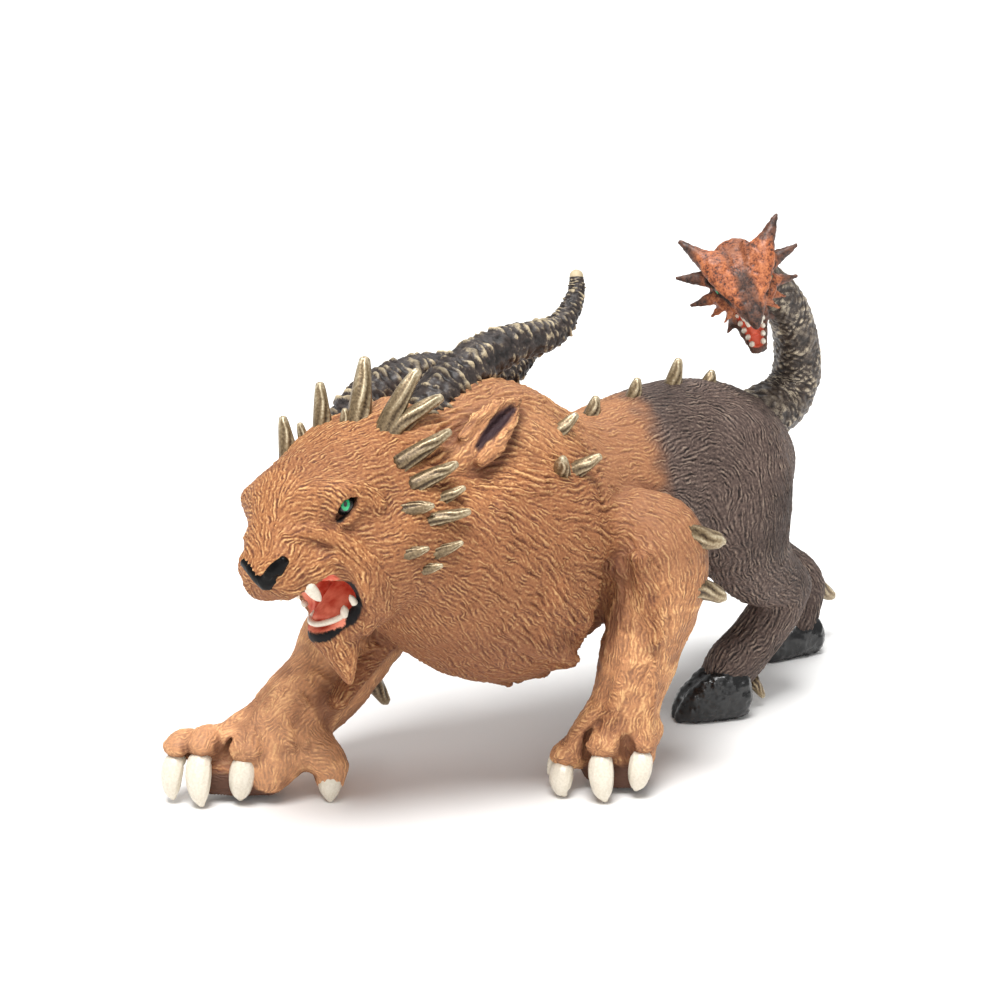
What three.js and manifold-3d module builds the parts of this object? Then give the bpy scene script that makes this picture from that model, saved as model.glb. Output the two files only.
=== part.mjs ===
// A chimera figurine in moulded, hand-painted vinyl: a crouching beast with the maned head and forepaws of a
// lion, the hindquarters and hooves of a goat, a pair of ridged goat horns, and a serpent for a tail.
//
// Millimetres, +Z up. The beast faces -Y and its left side is +X. It stands on its claws, paws and hooves at z = 0.
// The body is one casting. Each horn and the serpent tail are castings of their own, plugged into sockets.

import * as THREE from 'three';
import { LoftGeometry } from 'three/addons/geometries/LoftGeometry.js';
import { mergeVertices } from 'three/addons/utils/BufferGeometryUtils.js';
import Module from 'manifold-3d';

const wasm = await Module();
wasm.setup();

// Driving dimensions

const WITHERS_HEIGHT = 87;      // top of the shoulder hump
const RUMP_HEIGHT = 76;         // top of the hindquarters
const CHEST_CLEARANCE = 22;     // ground to the lowest fur of the chest
const CHEST_HALF_WIDTH = 27;
const WAIST_HALF_WIDTH = 18.5;
const RUMP_HALF_WIDTH = 19;
const SOCKET_GAP = 0.3;         // round a horn or the tail, inside its socket
const GROUND_SLAB = 20;         // depth of the slab that trims the soles flat
const FOOTPRINT_CENTRE = [-1, 20.4]; // x and y of the footprint's middle, which becomes the origin

const SIDE = new THREE.Vector3(1, 0, 0);
const UP = new THREE.Vector3(0, 0, 1);
const vec = (x, y, z) => new THREE.Vector3(x, y, z);

// The head and the serpent's head have frames of their own: the nose or beak tip at the origin, the snout along
// -Y, the crown along +Z. Yaw turns the snout to the beast's left, pitch lowers it and roll lifts the left side.
function frameAt(x, y, z, yaw, pitch, roll) {
  const { degToRad } = THREE.MathUtils;
  return new THREE.Matrix4().makeTranslation(x, y, z)
    .multiply(new THREE.Matrix4().makeRotationZ(degToRad(yaw)))
    .multiply(new THREE.Matrix4().makeRotationX(degToRad(pitch)))
    .multiply(new THREE.Matrix4().makeRotationY(degToRad(-roll)));
}

const headFrame = frameAt(0, -68.7, 58.6, 10, 10, 15);
const serpentFrame = frameAt(14.2, 58, 90.8, 61, 29, 17);

// Solids from lofts

// A closed surface as a solid that can be joined and cut.
function solidOf(geometry) {
  const bare = new THREE.BufferGeometry();
  bare.setAttribute('position', geometry.getAttribute('position'));
  bare.setIndex(geometry.getIndex());
  const merged = mergeVertices(bare, 1e-4);
  return new wasm.Manifold(new wasm.Mesh({
    numProp: 3,
    vertProperties: new Float32Array(merged.attributes.position.array),
    triVerts: new Uint32Array(merged.index.array),
  }));
}

// A body mass or limb: an oval section carried along a smooth line. Each station is
// [x, y, z, half width, half depth]. The width lies along `across` and the depth at right angles to it.
// A rounded end is drawn in over one more ring.
function limb(stations, { around = 12, rings = 2, across = SIDE, domed = [true, true], turn = 0 } = {}) {
  const line = new THREE.CatmullRomCurve3(stations.map(([x, y, z]) => vec(x, y, z)), false, 'catmullrom');
  const girth = new THREE.CatmullRomCurve3(stations.map((s) => vec(s[3], s[4], 0)), false, 'catmullrom');
  const count = (stations.length - 1) * rings;
  const ring = (t, shrink, push) => {
    const tangent = line.getTangent(t);
    const wide = across.clone().addScaledVector(tangent, -across.dot(tangent)).normalize();
    const deep = new THREE.Vector3().crossVectors(tangent, wide);
    const size = girth.getPoint(t);
    const centre = line.getPoint(t).addScaledVector(tangent, push * Math.min(size.x, size.y));
    return Array.from({ length: around }, (_, k) => {
      const angle = ((k + turn) / around) * 2 * Math.PI;
      return centre.clone()
        .addScaledVector(wide, Math.cos(angle) * size.x * shrink)
        .addScaledVector(deep, Math.sin(angle) * size.y * shrink);
    });
  };
  const sections = [];
  if (domed[0]) sections.push(ring(0, 0.55, -0.6));
  for (let i = 0; i <= count; i++) sections.push(ring(i / count, 1, 0));
  if (domed[1]) sections.push(ring(1, 0.55, 0.6));
  return solidOf(new LoftGeometry(sections, { capStart: true, capEnd: true }));
}

// A horn-like spike from its root to its tip, bowed sideways by `bow` of its length.
function spike(root, tip, radius, bow = vec(0, 0, 0), sides = 5) {
  const reach = tip.clone().sub(root);
  const point = (t) => root.clone().addScaledVector(reach, t)
    .addScaledVector(bow, 4 * t * (1 - t) * reach.length());
  const across = Math.abs(reach.clone().normalize().dot(SIDE)) > 0.8 ? UP : SIDE;
  const station = (t, r) => [...point(t).toArray(), r, r];
  return limb([station(-0.25, radius), station(0.5, radius * 0.84), station(1, radius * 0.34)],
    { around: sides, rings: 1, across, domed: [false, false] });
}

const join = (solids) => solids.reduce((whole, solid) => whole.add(solid));

// The same solid placed by a matrix.
function placed(solid, matrix) {
  return solid.transform(matrix.toArray());
}

// Torso: mane, chest, waist and goat rump along the spine

function torso() {
  const spine = (y, top, bottom, half, x = 0) => [x, y, (top + bottom) / 2, half, (top - bottom) / 2];
  const barrel = limb([
    spine(-38, 72, 44, 16, -5),
    spine(-28, 77, 37, CHEST_HALF_WIDTH * 0.84, -3),
    spine(-16, 79, 28, CHEST_HALF_WIDTH * 0.96, -1),
    spine(-4, 79, CHEST_CLEARANCE, CHEST_HALF_WIDTH),
    spine(6, 76, CHEST_CLEARANCE + 1.5, CHEST_HALF_WIDTH * 0.93),
    spine(15, 74, CHEST_CLEARANCE + 7, CHEST_HALF_WIDTH * 0.78),
    spine(27, RUMP_HEIGHT - 0.5, 31, WAIST_HALF_WIDTH),
    spine(41, RUMP_HEIGHT + 1, 35, WAIST_HALF_WIDTH),
    spine(54, RUMP_HEIGHT, 36, RUMP_HALF_WIDTH),
    spine(65, 71, 38, RUMP_HALF_WIDTH * 0.84),
    spine(74, 64, 43, RUMP_HALF_WIDTH * 0.52),
  ], { around: 18, rings: 1 });
  const hump = limb([
    spine(-38, 82, 54, 15, -10),
    spine(-22, WITHERS_HEIGHT - 1, 56, 15, -6),
    spine(-7, WITHERS_HEIGHT + 1, 56, 15, -2),
    spine(4, 82, 54, 13),
    spine(12, 75, 52, 10),
  ], { around: 14, rings: 1 });
  return barrel.add(hump);
}

// Lion forelegs

// One clawed toe: a knuckle, a toe that ends above the ground, and a broad claw that hangs from it to its tip.
function toe(knuckle, end, clawTip, size) {
  const aim = end.clone().sub(knuckle).setZ(0).normalize();
  const across = new THREE.Vector3().crossVectors(aim, UP).normalize();
  const finger = limb([
    [...knuckle.clone().addScaledVector(aim, -size).toArray(), size * 0.9, size * 0.8],
    [...knuckle.toArray(), size, size * 0.95],
    [...end.toArray(), size * 0.86, size * 0.8],
  ], { around: 7, rings: 1, across, domed: [false, true] });
  const root = end.clone().addScaledVector(aim, size * 0.25).addScaledVector(UP, size * 0.2);
  const bow = root.clone().lerp(clawTip, 0.42).addScaledVector(aim, size * 0.55);
  const claw = limb([
    [...root.toArray(), size * 0.58, size * 0.62],
    [...bow.toArray(), size * 0.6, size * 0.5],
    [...clawTip.toArray(), size * 0.14, size * 0.14],
  ], { around: 6, rings: 1, across, domed: [true, false] });
  return [finger, claw];
}

function leftForeleg() {
  const leg = limb([
    [22.6, 12.6, 61, 8.6, 10.2],
    [25, 16.6, 55, 9.9, 11.8],
    [26, 17.6, 48.5, 9.8, 10.8],
    [26.5, 16, 41, 8.8, 10],
    [26, 14.2, 34, 8.2, 9.3],
    [25.4, 11.6, 27.5, 8.4, 9.3],
    [25, 9.2, 21, 7.8, 8.7],
    [24.4, 6.8, 14, 8.2, 8.4],
    [24.4, 6.8, 9, 8.4, 8.2],
    [24.4, 8, 5.4, 7.6, 7],
  ], { around: 12, rings: 1 });
  return [
    leg,
    ...toe(vec(18.8, 2, 9.2), vec(18.2, -2.8, 7.4), vec(17.6, -6, -0.4), 4.3),
    ...toe(vec(24.2, 1.8, 10), vec(24.8, -1.6, 9.4), vec(25.6, -2, -0.8), 4.5),
    ...toe(vec(27.4, 7, 9.6), vec(30, 4.6, 8.8), vec(30.6, 5.6, -0.2), 4.3),
    spike(vec(27, 27.5, 52.6), vec(31, 34, 51.6), 3),
    spike(vec(27, 25, 44), vec(29.5, 33, 38), 2.9, vec(0, 0, 0.05)),
  ];
}

function rightForeleg() {
  const leg = limb([
    [-14, -6, 58, 10, 15],
    [-19, -11, 46, 11, 13.5],
    [-23, -18, 37, 10.5, 12],
    [-25, -25, 28.5, 10, 11],
    [-25.4, -31.5, 20.5, 9.2, 9.4],
    [-25, -39.5, 16.5, 9, 8.8],
    [-24.2, -46, 12, 9, 8.4],
    [-24, -51, 8, 9.2, 7.6],
    [-24.2, -53, 5.4, 8.6, 6.2],
  ], { around: 12, rings: 1 });
  return [
    leg,
    ...toe(vec(-31.4, -56.4, 8.6), vec(-33.6, -61.6, 7.8), vec(-34.8, -65.6, -0.4), 4.3),
    ...toe(vec(-27, -55, 10.6), vec(-28.2, -59.4, 8.6), vec(-28.8, -63.6, -0.6), 4.7),
    ...toe(vec(-21, -49.5, 9.4), vec(-22, -53.4, 8), vec(-23.4, -56.4, -0.4), 4.8),
    limb([
      [-22, -45, 10.5, 5.4, 5.4],
      [-17, -43, 10.6, 4.8, 4.8],
      [-13.2, -41.4, 7.4, 4, 4],
      [-12.4, -42, 3.8, 3.2, 3.2],
    ], { around: 8, rings: 1, across: vec(0, 1, 0) }),
    limb([[-12.4, -42, 4.4, 2.6, 2.6], [-12, -42.8, 1.8, 2, 2], [-11.7, -43.2, -0.2, 0.6, 0.6]],
      { around: 6, rings: 1, domed: [true, false] }),
    spike(vec(-26, -20, 19), vec(-27, -13.5, 10), 2.8),
  ];
}

// Goat hind legs

// A cloven hoof of two digits, its sole on the ground. `aim` points to the toe.
function hoof(heel, aim, length, halfWidth, height) {
  const across = new THREE.Vector3().crossVectors(aim, UP).normalize();
  return [-1, 1].map((way) => {
    const at = (along, z) => heel.clone().addScaledVector(aim, along * length)
      .addScaledVector(across, way * halfWidth * (0.52 - 0.18 * along)).setZ(z);
    return limb([
      [...at(0.08, height * 0.5).toArray(), halfWidth * 0.5, height * 0.5],
      [...at(0.4, height * 0.52).toArray(), halfWidth * 0.56, height * 0.6],
      [...at(0.78, height * 0.34).toArray(), halfWidth * 0.46, height * 0.46],
      [...at(1, 0.9).toArray(), halfWidth * 0.2, height * 0.18],
    ], { around: 8, rings: 1, across, domed: [true, false] });
  });
}

function leftHindLeg() {
  const leg = limb([
    [9, 56, 63, 10, 11],
    [12.5, 54, 54, 10.6, 14],
    [14, 54.5, 44.5, 9.6, 12.5],
    [13.6, 60, 35.5, 7.6, 9.2],
    [12.4, 69.5, 28, 6, 6.6],
    [11.8, 68.8, 22, 5.2, 6.6],
    [11.2, 63.8, 15.6, 5, 6],
    [10.4, 58.4, 10.4, 5.2, 6],
    [10, 55.4, 7.4, 5, 4.8],
  ], { around: 12, rings: 1, domed: [false, true] });
  return [
    leg,
    spike(vec(12.4, 70, 28), vec(12.4, 77.5, 26), 5, vec(0, 0, 0), 8),
    ...hoof(vec(12.6, 59, 0), vec(-0.42, -0.9, 0).normalize(), 18, 6.2, 9.6),
    spike(vec(12.5, 62, 6), vec(13, 64.5, 2), 1.5),
    spike(vec(8.5, 63, 6), vec(8, 65.5, 2), 1.5),
  ];
}

function rightHindLeg() {
  const leg = limb([
    [-9, 62, 58, 10, 12],
    [-12, 68.6, 47, 10, 12.4],
    [-12, 78, 34, 8, 8.8],
    [-10, 88.6, 24, 6.4, 6.8],
    [-8, 98.8, 16.4, 5.4, 5.6],
    [-7, 98, 10.5, 4.8, 4.8],
    [-6, 95, 7, 5, 4.8],
  ], { around: 12, rings: 1, domed: [false, true] });
  return [
    leg,
    ...hoof(vec(-5.4, 100.5, 0), vec(-0.2, -0.98, 0).normalize(), 16.4, 6, 8.6),
    spike(vec(-8, 103.5, 14.4), vec(-8, 111.5, 9.8), 2.1),
  ];
}

// Lion head, in its own frame

// A leaf-shaped ear laid back against the neck, with a slit along its outer face
function ear(way) {
  const across = vec(-0.4 * way, 0, 0.9).normalize();
  const shell = limb([
    [way * 18.4, 39, 5.4, 2.6, 1.6],
    [way * 21, 45, 6.4, 4.4, 2.2],
    [way * 22.6, 51, 7.4, 4.8, 2],
    [way * 23.4, 57, 9.4, 3, 1.5],
    [way * 23.6, 62, 10.8, 0.7, 0.6],
  ], { around: 8, rings: 1, across, domed: [true, false] });
  const slit = limb([
    [way * 23, 44.6, 6.6, 1.4, 1],
    [way * 24.6, 51, 7.6, 2.6, 1.5],
    [way * 24.6, 58.5, 9.6, 1, 0.8],
  ], { around: 6, rings: 1, across, domed: [false, false] });
  return shell.subtract(slit);
}

// The spikes that frame the face, as root, tip and radius: down both cheeks, and over the brow of one side only.
const CHEEK_SPIKES = [
  [18, 32.2, 6, 22.6, 39.4, 6.8, 1.5],
  [20, 35.4, 0.8, 23.4, 38.4, 1.2, 1.2],
  [18.6, 28.6, 2.4, 21.4, 31, 1.6, 1.2],
  [20, 31, -2.2, 24.8, 36, -2.6, 1.3],
  [18.4, 24.2, -6.2, 21, 26.4, -6.2, 1],
  [19.8, 30.4, -8, 23, 33.6, -8.4, 1],
  [18.4, 26.2, -10.6, 20.8, 28.4, -10.8, 0.9],
];
const LEFT_SPIKES = [
  [9.5, 37, 16, 14, 46, 24.6, 2.1],
  [12.6, 38.2, 14, 18, 46.6, 18, 1.9],
  [15.6, 35, 10.6, 21.4, 42.6, 12.6, 1.6],
  [2.6, 35.8, 16.6, 2.6, 44.2, 28.9, 2.4],
  [0.6, 34, 17, 0.8, 36, 21.4, 1.3],
];
const RIGHT_SPIKES = [
  [-5, 33.4, 17.2, -5.4, 37.6, 26.8, 1.9],
  [-8, 30.4, 15, -8.4, 31.4, 20.8, 1.3],
  [-11, 27.8, 14.6, -12, 30.8, 22.6, 1.8],
  [-15, 32, 10, -20, 40, 12, 1.6],
];

function maneSpikes() {
  const mirrored = CHEEK_SPIKES.map(([x0, y0, z0, x1, ...rest]) => [-x0, y0, z0, -x1, ...rest]);
  return [...CHEEK_SPIKES, ...mirrored, ...LEFT_SPIKES, ...RIGHT_SPIKES].map(([x0, y0, z0, x1, y1, z1, radius]) => {
    // Each spike grows out of the skull before it sweeps back.
    const sunk = vec(x0, 0, z0).setLength(3.4);
    const station = (x, y, z, r) => [x, y, z, r, r];
    return limb([
      station(x0 - sunk.x, y0 + 1, z0 - sunk.z, radius),
      station(x0 + (x1 - x0) * 0.4, y0 + (y1 - y0) * 0.34, z0 + (z1 - z0) * 0.4, radius * 0.9),
      station(x1, y1, z1, radius * 0.4),
    ], { around: 5, rings: 1, across: vec(0.3, 0.1, 0.9).normalize(), domed: [false, false] });
  });
}

function head() {
  const skull = limb([
    [0, 1.8, -1, 6.6, 5],
    [0, 5.4, 1, 7.8, 7.2],
    [0, 11, 3.4, 8.8, 10],
    [0, 17, 5.6, 12, 12.6],
    [0, 24, 5.6, 15.4, 13.3],
    [0, 32, 4.4, 18.2, 14.2],
    [0, 42, 2.4, 19.6, 14.8],
    [0, 52, 0, 18, 14],
  ], { around: 16, rings: 1 });
  const nose = limb([[-5, 2, 2.4, 2.2, 2.2], [0, 0.9, 1.6, 2.6, 2.9], [5, 2, 2.4, 2.2, 2.2]],
    { around: 8, rings: 1, across: UP });
  const jaw = limb([
    [0, 9.6, -17.2, 3.4, 2.4],
    [0, 13, -17.2, 8.8, 3.6],
    [0, 19, -14.6, 12.6, 6.4],
    [0, 27, -10, 15, 10],
    [0, 37, -8, 17, 12],
  ], { around: 12, rings: 1 });
  const paired = [-1, 1].flatMap((way) => [
    // Whisker pad, brow, cheekbone and jowl
    limb([[way * 4.2, 3.4, -2.4, 3.2, 3.4], [way * 6, 8, -1.8, 4, 4.4], [way * 8, 15, -1, 3.8, 4.6]],
      { around: 8, rings: 1, domed: [true, false] }),
    limb([[way * 4.6, 11.4, 11.4, 3.4, 3.4], [way * 8.8, 15.6, 10.4, 4.4, 4], [way * 10, 22.5, 7.4, 5, 5.2]],
      { around: 8, rings: 1, domed: [true, false] }),
    limb([[way * 9.6, 16.5, -1.4, 4, 4.6], [way * 13, 22.5, -1.8, 4.6, 5.8], [way * 14.2, 31, -1.6, 5.4, 7.4]],
      { around: 8, rings: 1, domed: [true, false] }),
    limb([[way * 11, 16.4, -9.8, 3.6, 5.4], [way * 13.8, 23.4, -8, 5.4, 8.2], [way * 14.6, 34, -5, 6.4, 10]],
      { around: 8, rings: 1, domed: [true, false] }),
    ear(way),
  ]);
  const beard = limb([[0, 10.4, -17, 5.4, 4.2], [0, 12.6, -22, 4.4, 3.8], [0, 12.6, -29, 0.8, 0.8]],
    { around: 8, rings: 1, domed: [true, false] });
  const gape = limb([[-16, 8.6, -10.6, 9, 4.5], [0, 6.6, -10.4, 8.8, 4.5], [16, 7, -10.6, 8, 4.5]],
    { around: 14, rings: 1, across: vec(0, 1, 0) });
  const throat = limb([[0, 8, -10.6, 9, 4], [0, 16, -10.8, 8.6, 3.8], [0, 21, -10.2, 5.6, 2.4]],
    { around: 12, rings: 1 });
  const tongue = limb([[0, 10, -15, 3.4, 1.4], [0, 14, -13.9, 4.2, 1.6], [0, 21, -11.8, 4.4, 2]],
    { around: 8, rings: 1 });
  const eyes = [-1, 1].map((way) => [way * 10.4, 17, 6.4]);
  const sockets = eyes.map(([x, y, z]) => limb([[x * 1.04, y - 4.6, z - 1.2, 3.2, 2.2], [x * 1.04, y, z, 2.8, 2.2]],
    { around: 8, rings: 1 }));
  const eyeballs = eyes.map(([x, y, z]) => limb([[x * 0.92, y + 0.2, z, 2.2, 2], [x * 0.92, y + 3, z, 2.6, 2.4]],
    { around: 8, rings: 1 }));
  const teeth = [-1, 1].flatMap((way) => [
    spike(vec(way * 6, 8.4, -5), vec(way * 5.6, 7.6, -10.4), 1.5, vec(0, 0, 0), 4),
    spike(vec(way * 4.4, 9.8, -15.6), vec(way * 4.4, 9, -12), 1.3, vec(0, 0, 0), 4),
    spike(vec(way * 9, 13.4, -15.4), vec(way * 8.8, 13.4, -12.4), 1.3, vec(0, 0, 0), 4),
    spike(vec(way * 8.6, 13.6, -4.6), vec(way * 8.4, 13.4, -8.4), 1.2, vec(0, 0, 0), 4),
  ]);
  return [join([skull, nose, jaw, ...paired, beard]).subtract(join([gape, throat, ...sockets])), tongue, ...eyeballs, ...teeth];
}

// Spikes along the spine and behind the shoulders
function backSpikes() {
  const along = [[22, 74.4, 5.2], [34.5, 75.6, 5], [46.5, 75.6, 7.4], [58, 74.6, 4]];
  const spine = along.map(([y, z, length]) => spike(vec(0, y, z), vec(0, y + length * 0.25, z + length), 1.9));
  const flank = [-1, 1].flatMap((way) => [
    spike(vec(way * 5, 9, 76), vec(way * 5.5, 15, 79), 1.6),
    spike(vec(way * 15, 0, 73.5), vec(way * 18, 4, 76), 1.6),
    spike(vec(way * 16.5, 6, 69), vec(way * 19, 11, 71), 1.5),
  ]);
  return [...spine, ...flank];
}

// Horns and tail, cast apart

// A ridged horn that sweeps back from the crown and lifts at its tip, in the head's frame. The right horn
// hangs lower than the left one.
function horn(way, lift, droop, grown = 0) {
  const line = [
    [-3, -6, 4.6],
    [4, -1.4, 5.3],
    [13, 2, 5.2],
    [24, 3, 4.8],
    [36, 2, 4.1],
    [47, -0.6, 3.3],
    [54.6, 0.8, 2.6],
    [59.6, 4, 1.9],
    [62, 7.6, 1.1],
  ];
  const lean = THREE.MathUtils.degToRad(droop);
  const stations = line.map(([y, z, r]) => [
    way * (9.2 - y * 0.012),
    46 + y * Math.cos(lean) + z * Math.sin(lean),
    15 + lift - y * Math.sin(lean) + z * Math.cos(lean),
    r + grown,
    r + grown,
  ]);
  return limb(stations, { around: 10, rings: 1, domed: [false, true] });
}

const leftHorn = (grown) => placed(horn(1, 0, 0, grown), headFrame);
const rightHorn = (grown) => placed(horn(-1, 3.5, 14, grown), headFrame);

function serpentNeck(grown = 0) {
  const r = (radius) => [radius + grown, radius + grown];
  return limb([
    [0, 68, 61, ...r(6.6)],
    [0, 76, 64, ...r(6.6)],
    [0, 82.5, 66, ...r(6)],
    [0.4, 86, 71, ...r(5.5)],
    [1, 85.4, 78, ...r(5.1)],
    [2, 82.4, 85, ...r(4.8)],
    [2.6, 78, 91, ...r(4.6)],
    [2.2, 72, 96, ...r(4.6)],
    [2.4, 66, 98.6, ...r(5)],
  ], { around: 10, rings: 1 });
}

// The serpent's head in its own frame: a horned, beaked skull over an open jaw
function serpentHead() {
  const skull = limb([
    [0, 18, 3.6, 5, 4.6],
    [0, 12, 3.6, 6.4, 4.4],
    [0, 7, 1.6, 4.4, 3.2],
    [0, 3, 0.4, 2.4, 2],
    [0, 0.4, -1, 0.8, 1],
  ], { around: 10, rings: 1, domed: [true, false] });
  const jaw = limb([
    [0, 15, -3, 4.6, 2.6],
    [0, 9, -7.4, 3.8, 1.6],
    [0, 3.4, -11.6, 1.8, 1],
  ], { around: 8, rings: 1 });
  const horns = [-1, 1].flatMap((way) => [
    [5.6, 14, 7, 11, 20, 11, 2],
    [6, 13.5, 3.6, 13.6, 15.5, 4.6, 1.8],
    [5.8, 11, 0.4, 12, 11.6, -0.8, 1.5],
    [3.8, 9.4, -0.4, 8.4, 9, -3.2, 1.2],
    [3, 7.4, 0, 6.2, 5.4, -2.4, 1],
    [3.2, 10, -7, 5.6, 8.6, -9.2, 1],
  ].map(([x0, y0, z0, x1, y1, z1, radius]) => spike(vec(way * x0, y0, z0), vec(way * x1, y1, z1), radius, vec(0, 0, 0), 4)));
  return join([skull, jaw, ...horns]);
}

// Put together

const slab = new THREE.BoxGeometry(400, 400, GROUND_SLAB).translate(0, 0, -GROUND_SLAB / 2);
const ground = solidOf(slab);

const maned = placed(join([...head(), ...maneSpikes()]), headFrame);
const hornLeft = leftHorn(0);
const hornRight = rightHorn(0);
const tail = serpentNeck().add(placed(serpentHead(), serpentFrame));
const sockets = join([leftHorn(SOCKET_GAP), rightHorn(SOCKET_GAP), serpentNeck(SOCKET_GAP)]);

const body = join([
  torso(),
  maned,
  ...leftForeleg(),
  ...rightForeleg(),
  ...leftHindLeg(),
  ...rightHindLeg(),
  ...backSpikes(),
]).subtract(sockets).subtract(ground);

// A named mesh in its own paint
function piece(name, solid, colour, roughness) {
  const { vertProperties, triVerts } = solid.getMesh();
  const geometry = new THREE.BufferGeometry();
  geometry.setAttribute('position', new THREE.BufferAttribute(vertProperties, 3));
  geometry.setIndex(new THREE.BufferAttribute(triVerts, 1));
  geometry.translate(-FOOTPRINT_CENTRE[0], -FOOTPRINT_CENTRE[1], 0);
  geometry.computeVertexNormals();
  const mesh = new THREE.Mesh(geometry, new THREE.MeshStandardMaterial({ color: colour, roughness, metalness: 0 }));
  mesh.name = name;
  return mesh;
}

const figurine = new THREE.Group();
figurine.add(
  piece('body', body, 0xa8714a, 0.6),
  piece('horn_left', hornLeft, 0x3d3833, 0.5),
  piece('horn_right', hornRight, 0x3d3833, 0.5),
  piece('serpent_tail', tail, 0x4a4438, 0.5),
);

export default figurine;
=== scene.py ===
"""The looks of a crouching chimera figurine in moulded, hand-painted vinyl.

The beast faces -Y and its left side is at +X. Sizes are in mm until a mesh is made, and in metres from there.
"""

import logging
import math
from dataclasses import dataclass, field, replace
from enum import Enum
from typing import Callable, Iterable, Sequence

import bpy
import numpy as np
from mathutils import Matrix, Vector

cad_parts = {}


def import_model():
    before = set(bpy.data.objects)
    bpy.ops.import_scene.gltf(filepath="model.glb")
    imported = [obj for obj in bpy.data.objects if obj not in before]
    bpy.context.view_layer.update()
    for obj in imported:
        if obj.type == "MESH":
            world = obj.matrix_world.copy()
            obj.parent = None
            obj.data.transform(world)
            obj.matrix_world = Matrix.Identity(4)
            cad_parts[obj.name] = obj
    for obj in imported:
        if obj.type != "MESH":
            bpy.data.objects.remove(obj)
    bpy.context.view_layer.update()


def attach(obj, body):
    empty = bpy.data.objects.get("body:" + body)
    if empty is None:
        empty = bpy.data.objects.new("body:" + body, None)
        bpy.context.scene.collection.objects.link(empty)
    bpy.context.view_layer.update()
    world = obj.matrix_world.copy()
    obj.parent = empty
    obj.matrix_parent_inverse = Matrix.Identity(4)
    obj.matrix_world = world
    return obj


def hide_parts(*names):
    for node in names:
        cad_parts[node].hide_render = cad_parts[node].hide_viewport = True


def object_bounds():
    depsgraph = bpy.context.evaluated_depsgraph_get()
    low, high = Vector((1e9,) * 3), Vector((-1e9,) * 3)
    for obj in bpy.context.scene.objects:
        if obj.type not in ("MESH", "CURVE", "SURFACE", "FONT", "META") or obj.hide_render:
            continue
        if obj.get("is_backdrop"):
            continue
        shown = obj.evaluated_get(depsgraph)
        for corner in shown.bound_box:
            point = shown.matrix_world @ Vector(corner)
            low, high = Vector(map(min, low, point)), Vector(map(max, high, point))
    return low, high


log = logging.getLogger("chimera")

MILLIMETRE = 0.001
FOOTPRINT_CENTRE = np.array([-1.0, 20.4, 0.0])  # the point of the beast's own frame that is the part's origin
LEFTWARD = np.array([1.0, 0.0, 0.0])
UP = np.array([0.0, 0.0, 1.0])
Vec = np.ndarray
Tree = bpy.types.NodeTree
Socket = bpy.types.NodeSocket


# Frames and small vector helpers

def vec(*values: float) -> Vec:
    """A point or direction as an array."""
    return np.array(values, float)


def unit(v: Vec) -> Vec:
    """Each vector of an array at length one."""
    return v / np.maximum(np.linalg.norm(v, axis=-1, keepdims=True), 1e-9)


def smoothstep(low: float, high: float, x: Vec) -> Vec:
    """0 below low and 1 above high, with a smooth ramp 3t^2 - 2t^3 between them."""
    t = np.clip((x - low) / (high - low), 0, 1)
    return t * t * (3 - 2 * t)


@dataclass(frozen=True)
class Frame:
    """A place and turn: yaw about Z, then pitch about X, then a roll that lifts the left side, in degrees."""

    origin: tuple[float, float, float] = (0, 0, 0)
    yaw: float = 0
    pitch: float = 0
    roll: float = 0

    @property
    def axes(self) -> Vec:
        """The 3 by 3 turn whose columns are the frame's own X, Y and Z."""
        yaw, pitch, roll = (math.radians(a) for a in (self.yaw, self.pitch, -self.roll))
        about_z = np.array([[math.cos(yaw), -math.sin(yaw), 0], [math.sin(yaw), math.cos(yaw), 0], [0, 0, 1]])
        about_x = np.array(
            [[1, 0, 0], [0, math.cos(pitch), -math.sin(pitch)], [0, math.sin(pitch), math.cos(pitch)]])
        about_y = np.array(
            [[math.cos(roll), 0, math.sin(roll)], [0, 1, 0], [-math.sin(roll), 0, math.cos(roll)]])
        return about_z @ about_x @ about_y

    def out(self, points: Vec) -> Vec:
        """Points of this frame in the part's frame."""
        return points @ self.axes.T + np.array(self.origin) - FOOTPRINT_CENTRE

    def back(self, points: Vec) -> Vec:
        """Points of the part's frame in this one."""
        return (points + FOOTPRINT_CENTRE - np.array(self.origin)) @ self.axes

    def turn(self, directions: Vec) -> Vec:
        """Directions of this frame in the part's frame."""
        return directions @ self.axes.T


BEAST = Frame()
HEAD = Frame((0, -68.7, 58.6), 10, 10, 15)
SERPENT = Frame((14.2, 58, 90.8), 61, 29, 17)


# Seeded noise

def scatter(cells: Vec, seed: int) -> Vec:
    """A repeatable number from 0 to 1 for each whole-numbered cell, by a hash of its three indices."""
    c = cells.astype(np.int64).astype(np.uint32)
    primes = (73856093, 19349663, 83492791)
    x, y, z = (c[..., a] * np.uint32(prime) for a, prime in enumerate(primes))
    mixed = x ^ y ^ z
    mixed = (mixed ^ np.uint32(seed * 2654435761 % 2**32)) * np.uint32(2246822519)
    mixed = (mixed ^ (mixed >> np.uint32(15))) * np.uint32(3266489917)
    mixed = mixed ^ (mixed >> np.uint32(13))
    return (mixed & np.uint32(0xFFFFFF)).astype(np.float32) / float(0xFFFFFF)


def cloud(points: Vec, size: float, seed: int) -> Vec:
    """Smooth noise from -1 to 1: hashed values on a lattice of pitch `size`, blended by smooth ramps."""
    scaled = points / size
    base = np.floor(scaled)
    t = scaled - base
    t = t * t * (3 - 2 * t)
    total = np.zeros(len(points), np.float32)
    for corner in np.ndindex(2, 2, 2):
        weight = np.prod(np.where(np.array(corner) > 0, t, 1 - t), axis=1)
        total += weight * scatter(base + np.array(corner), seed)
    return total * 2 - 1


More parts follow.
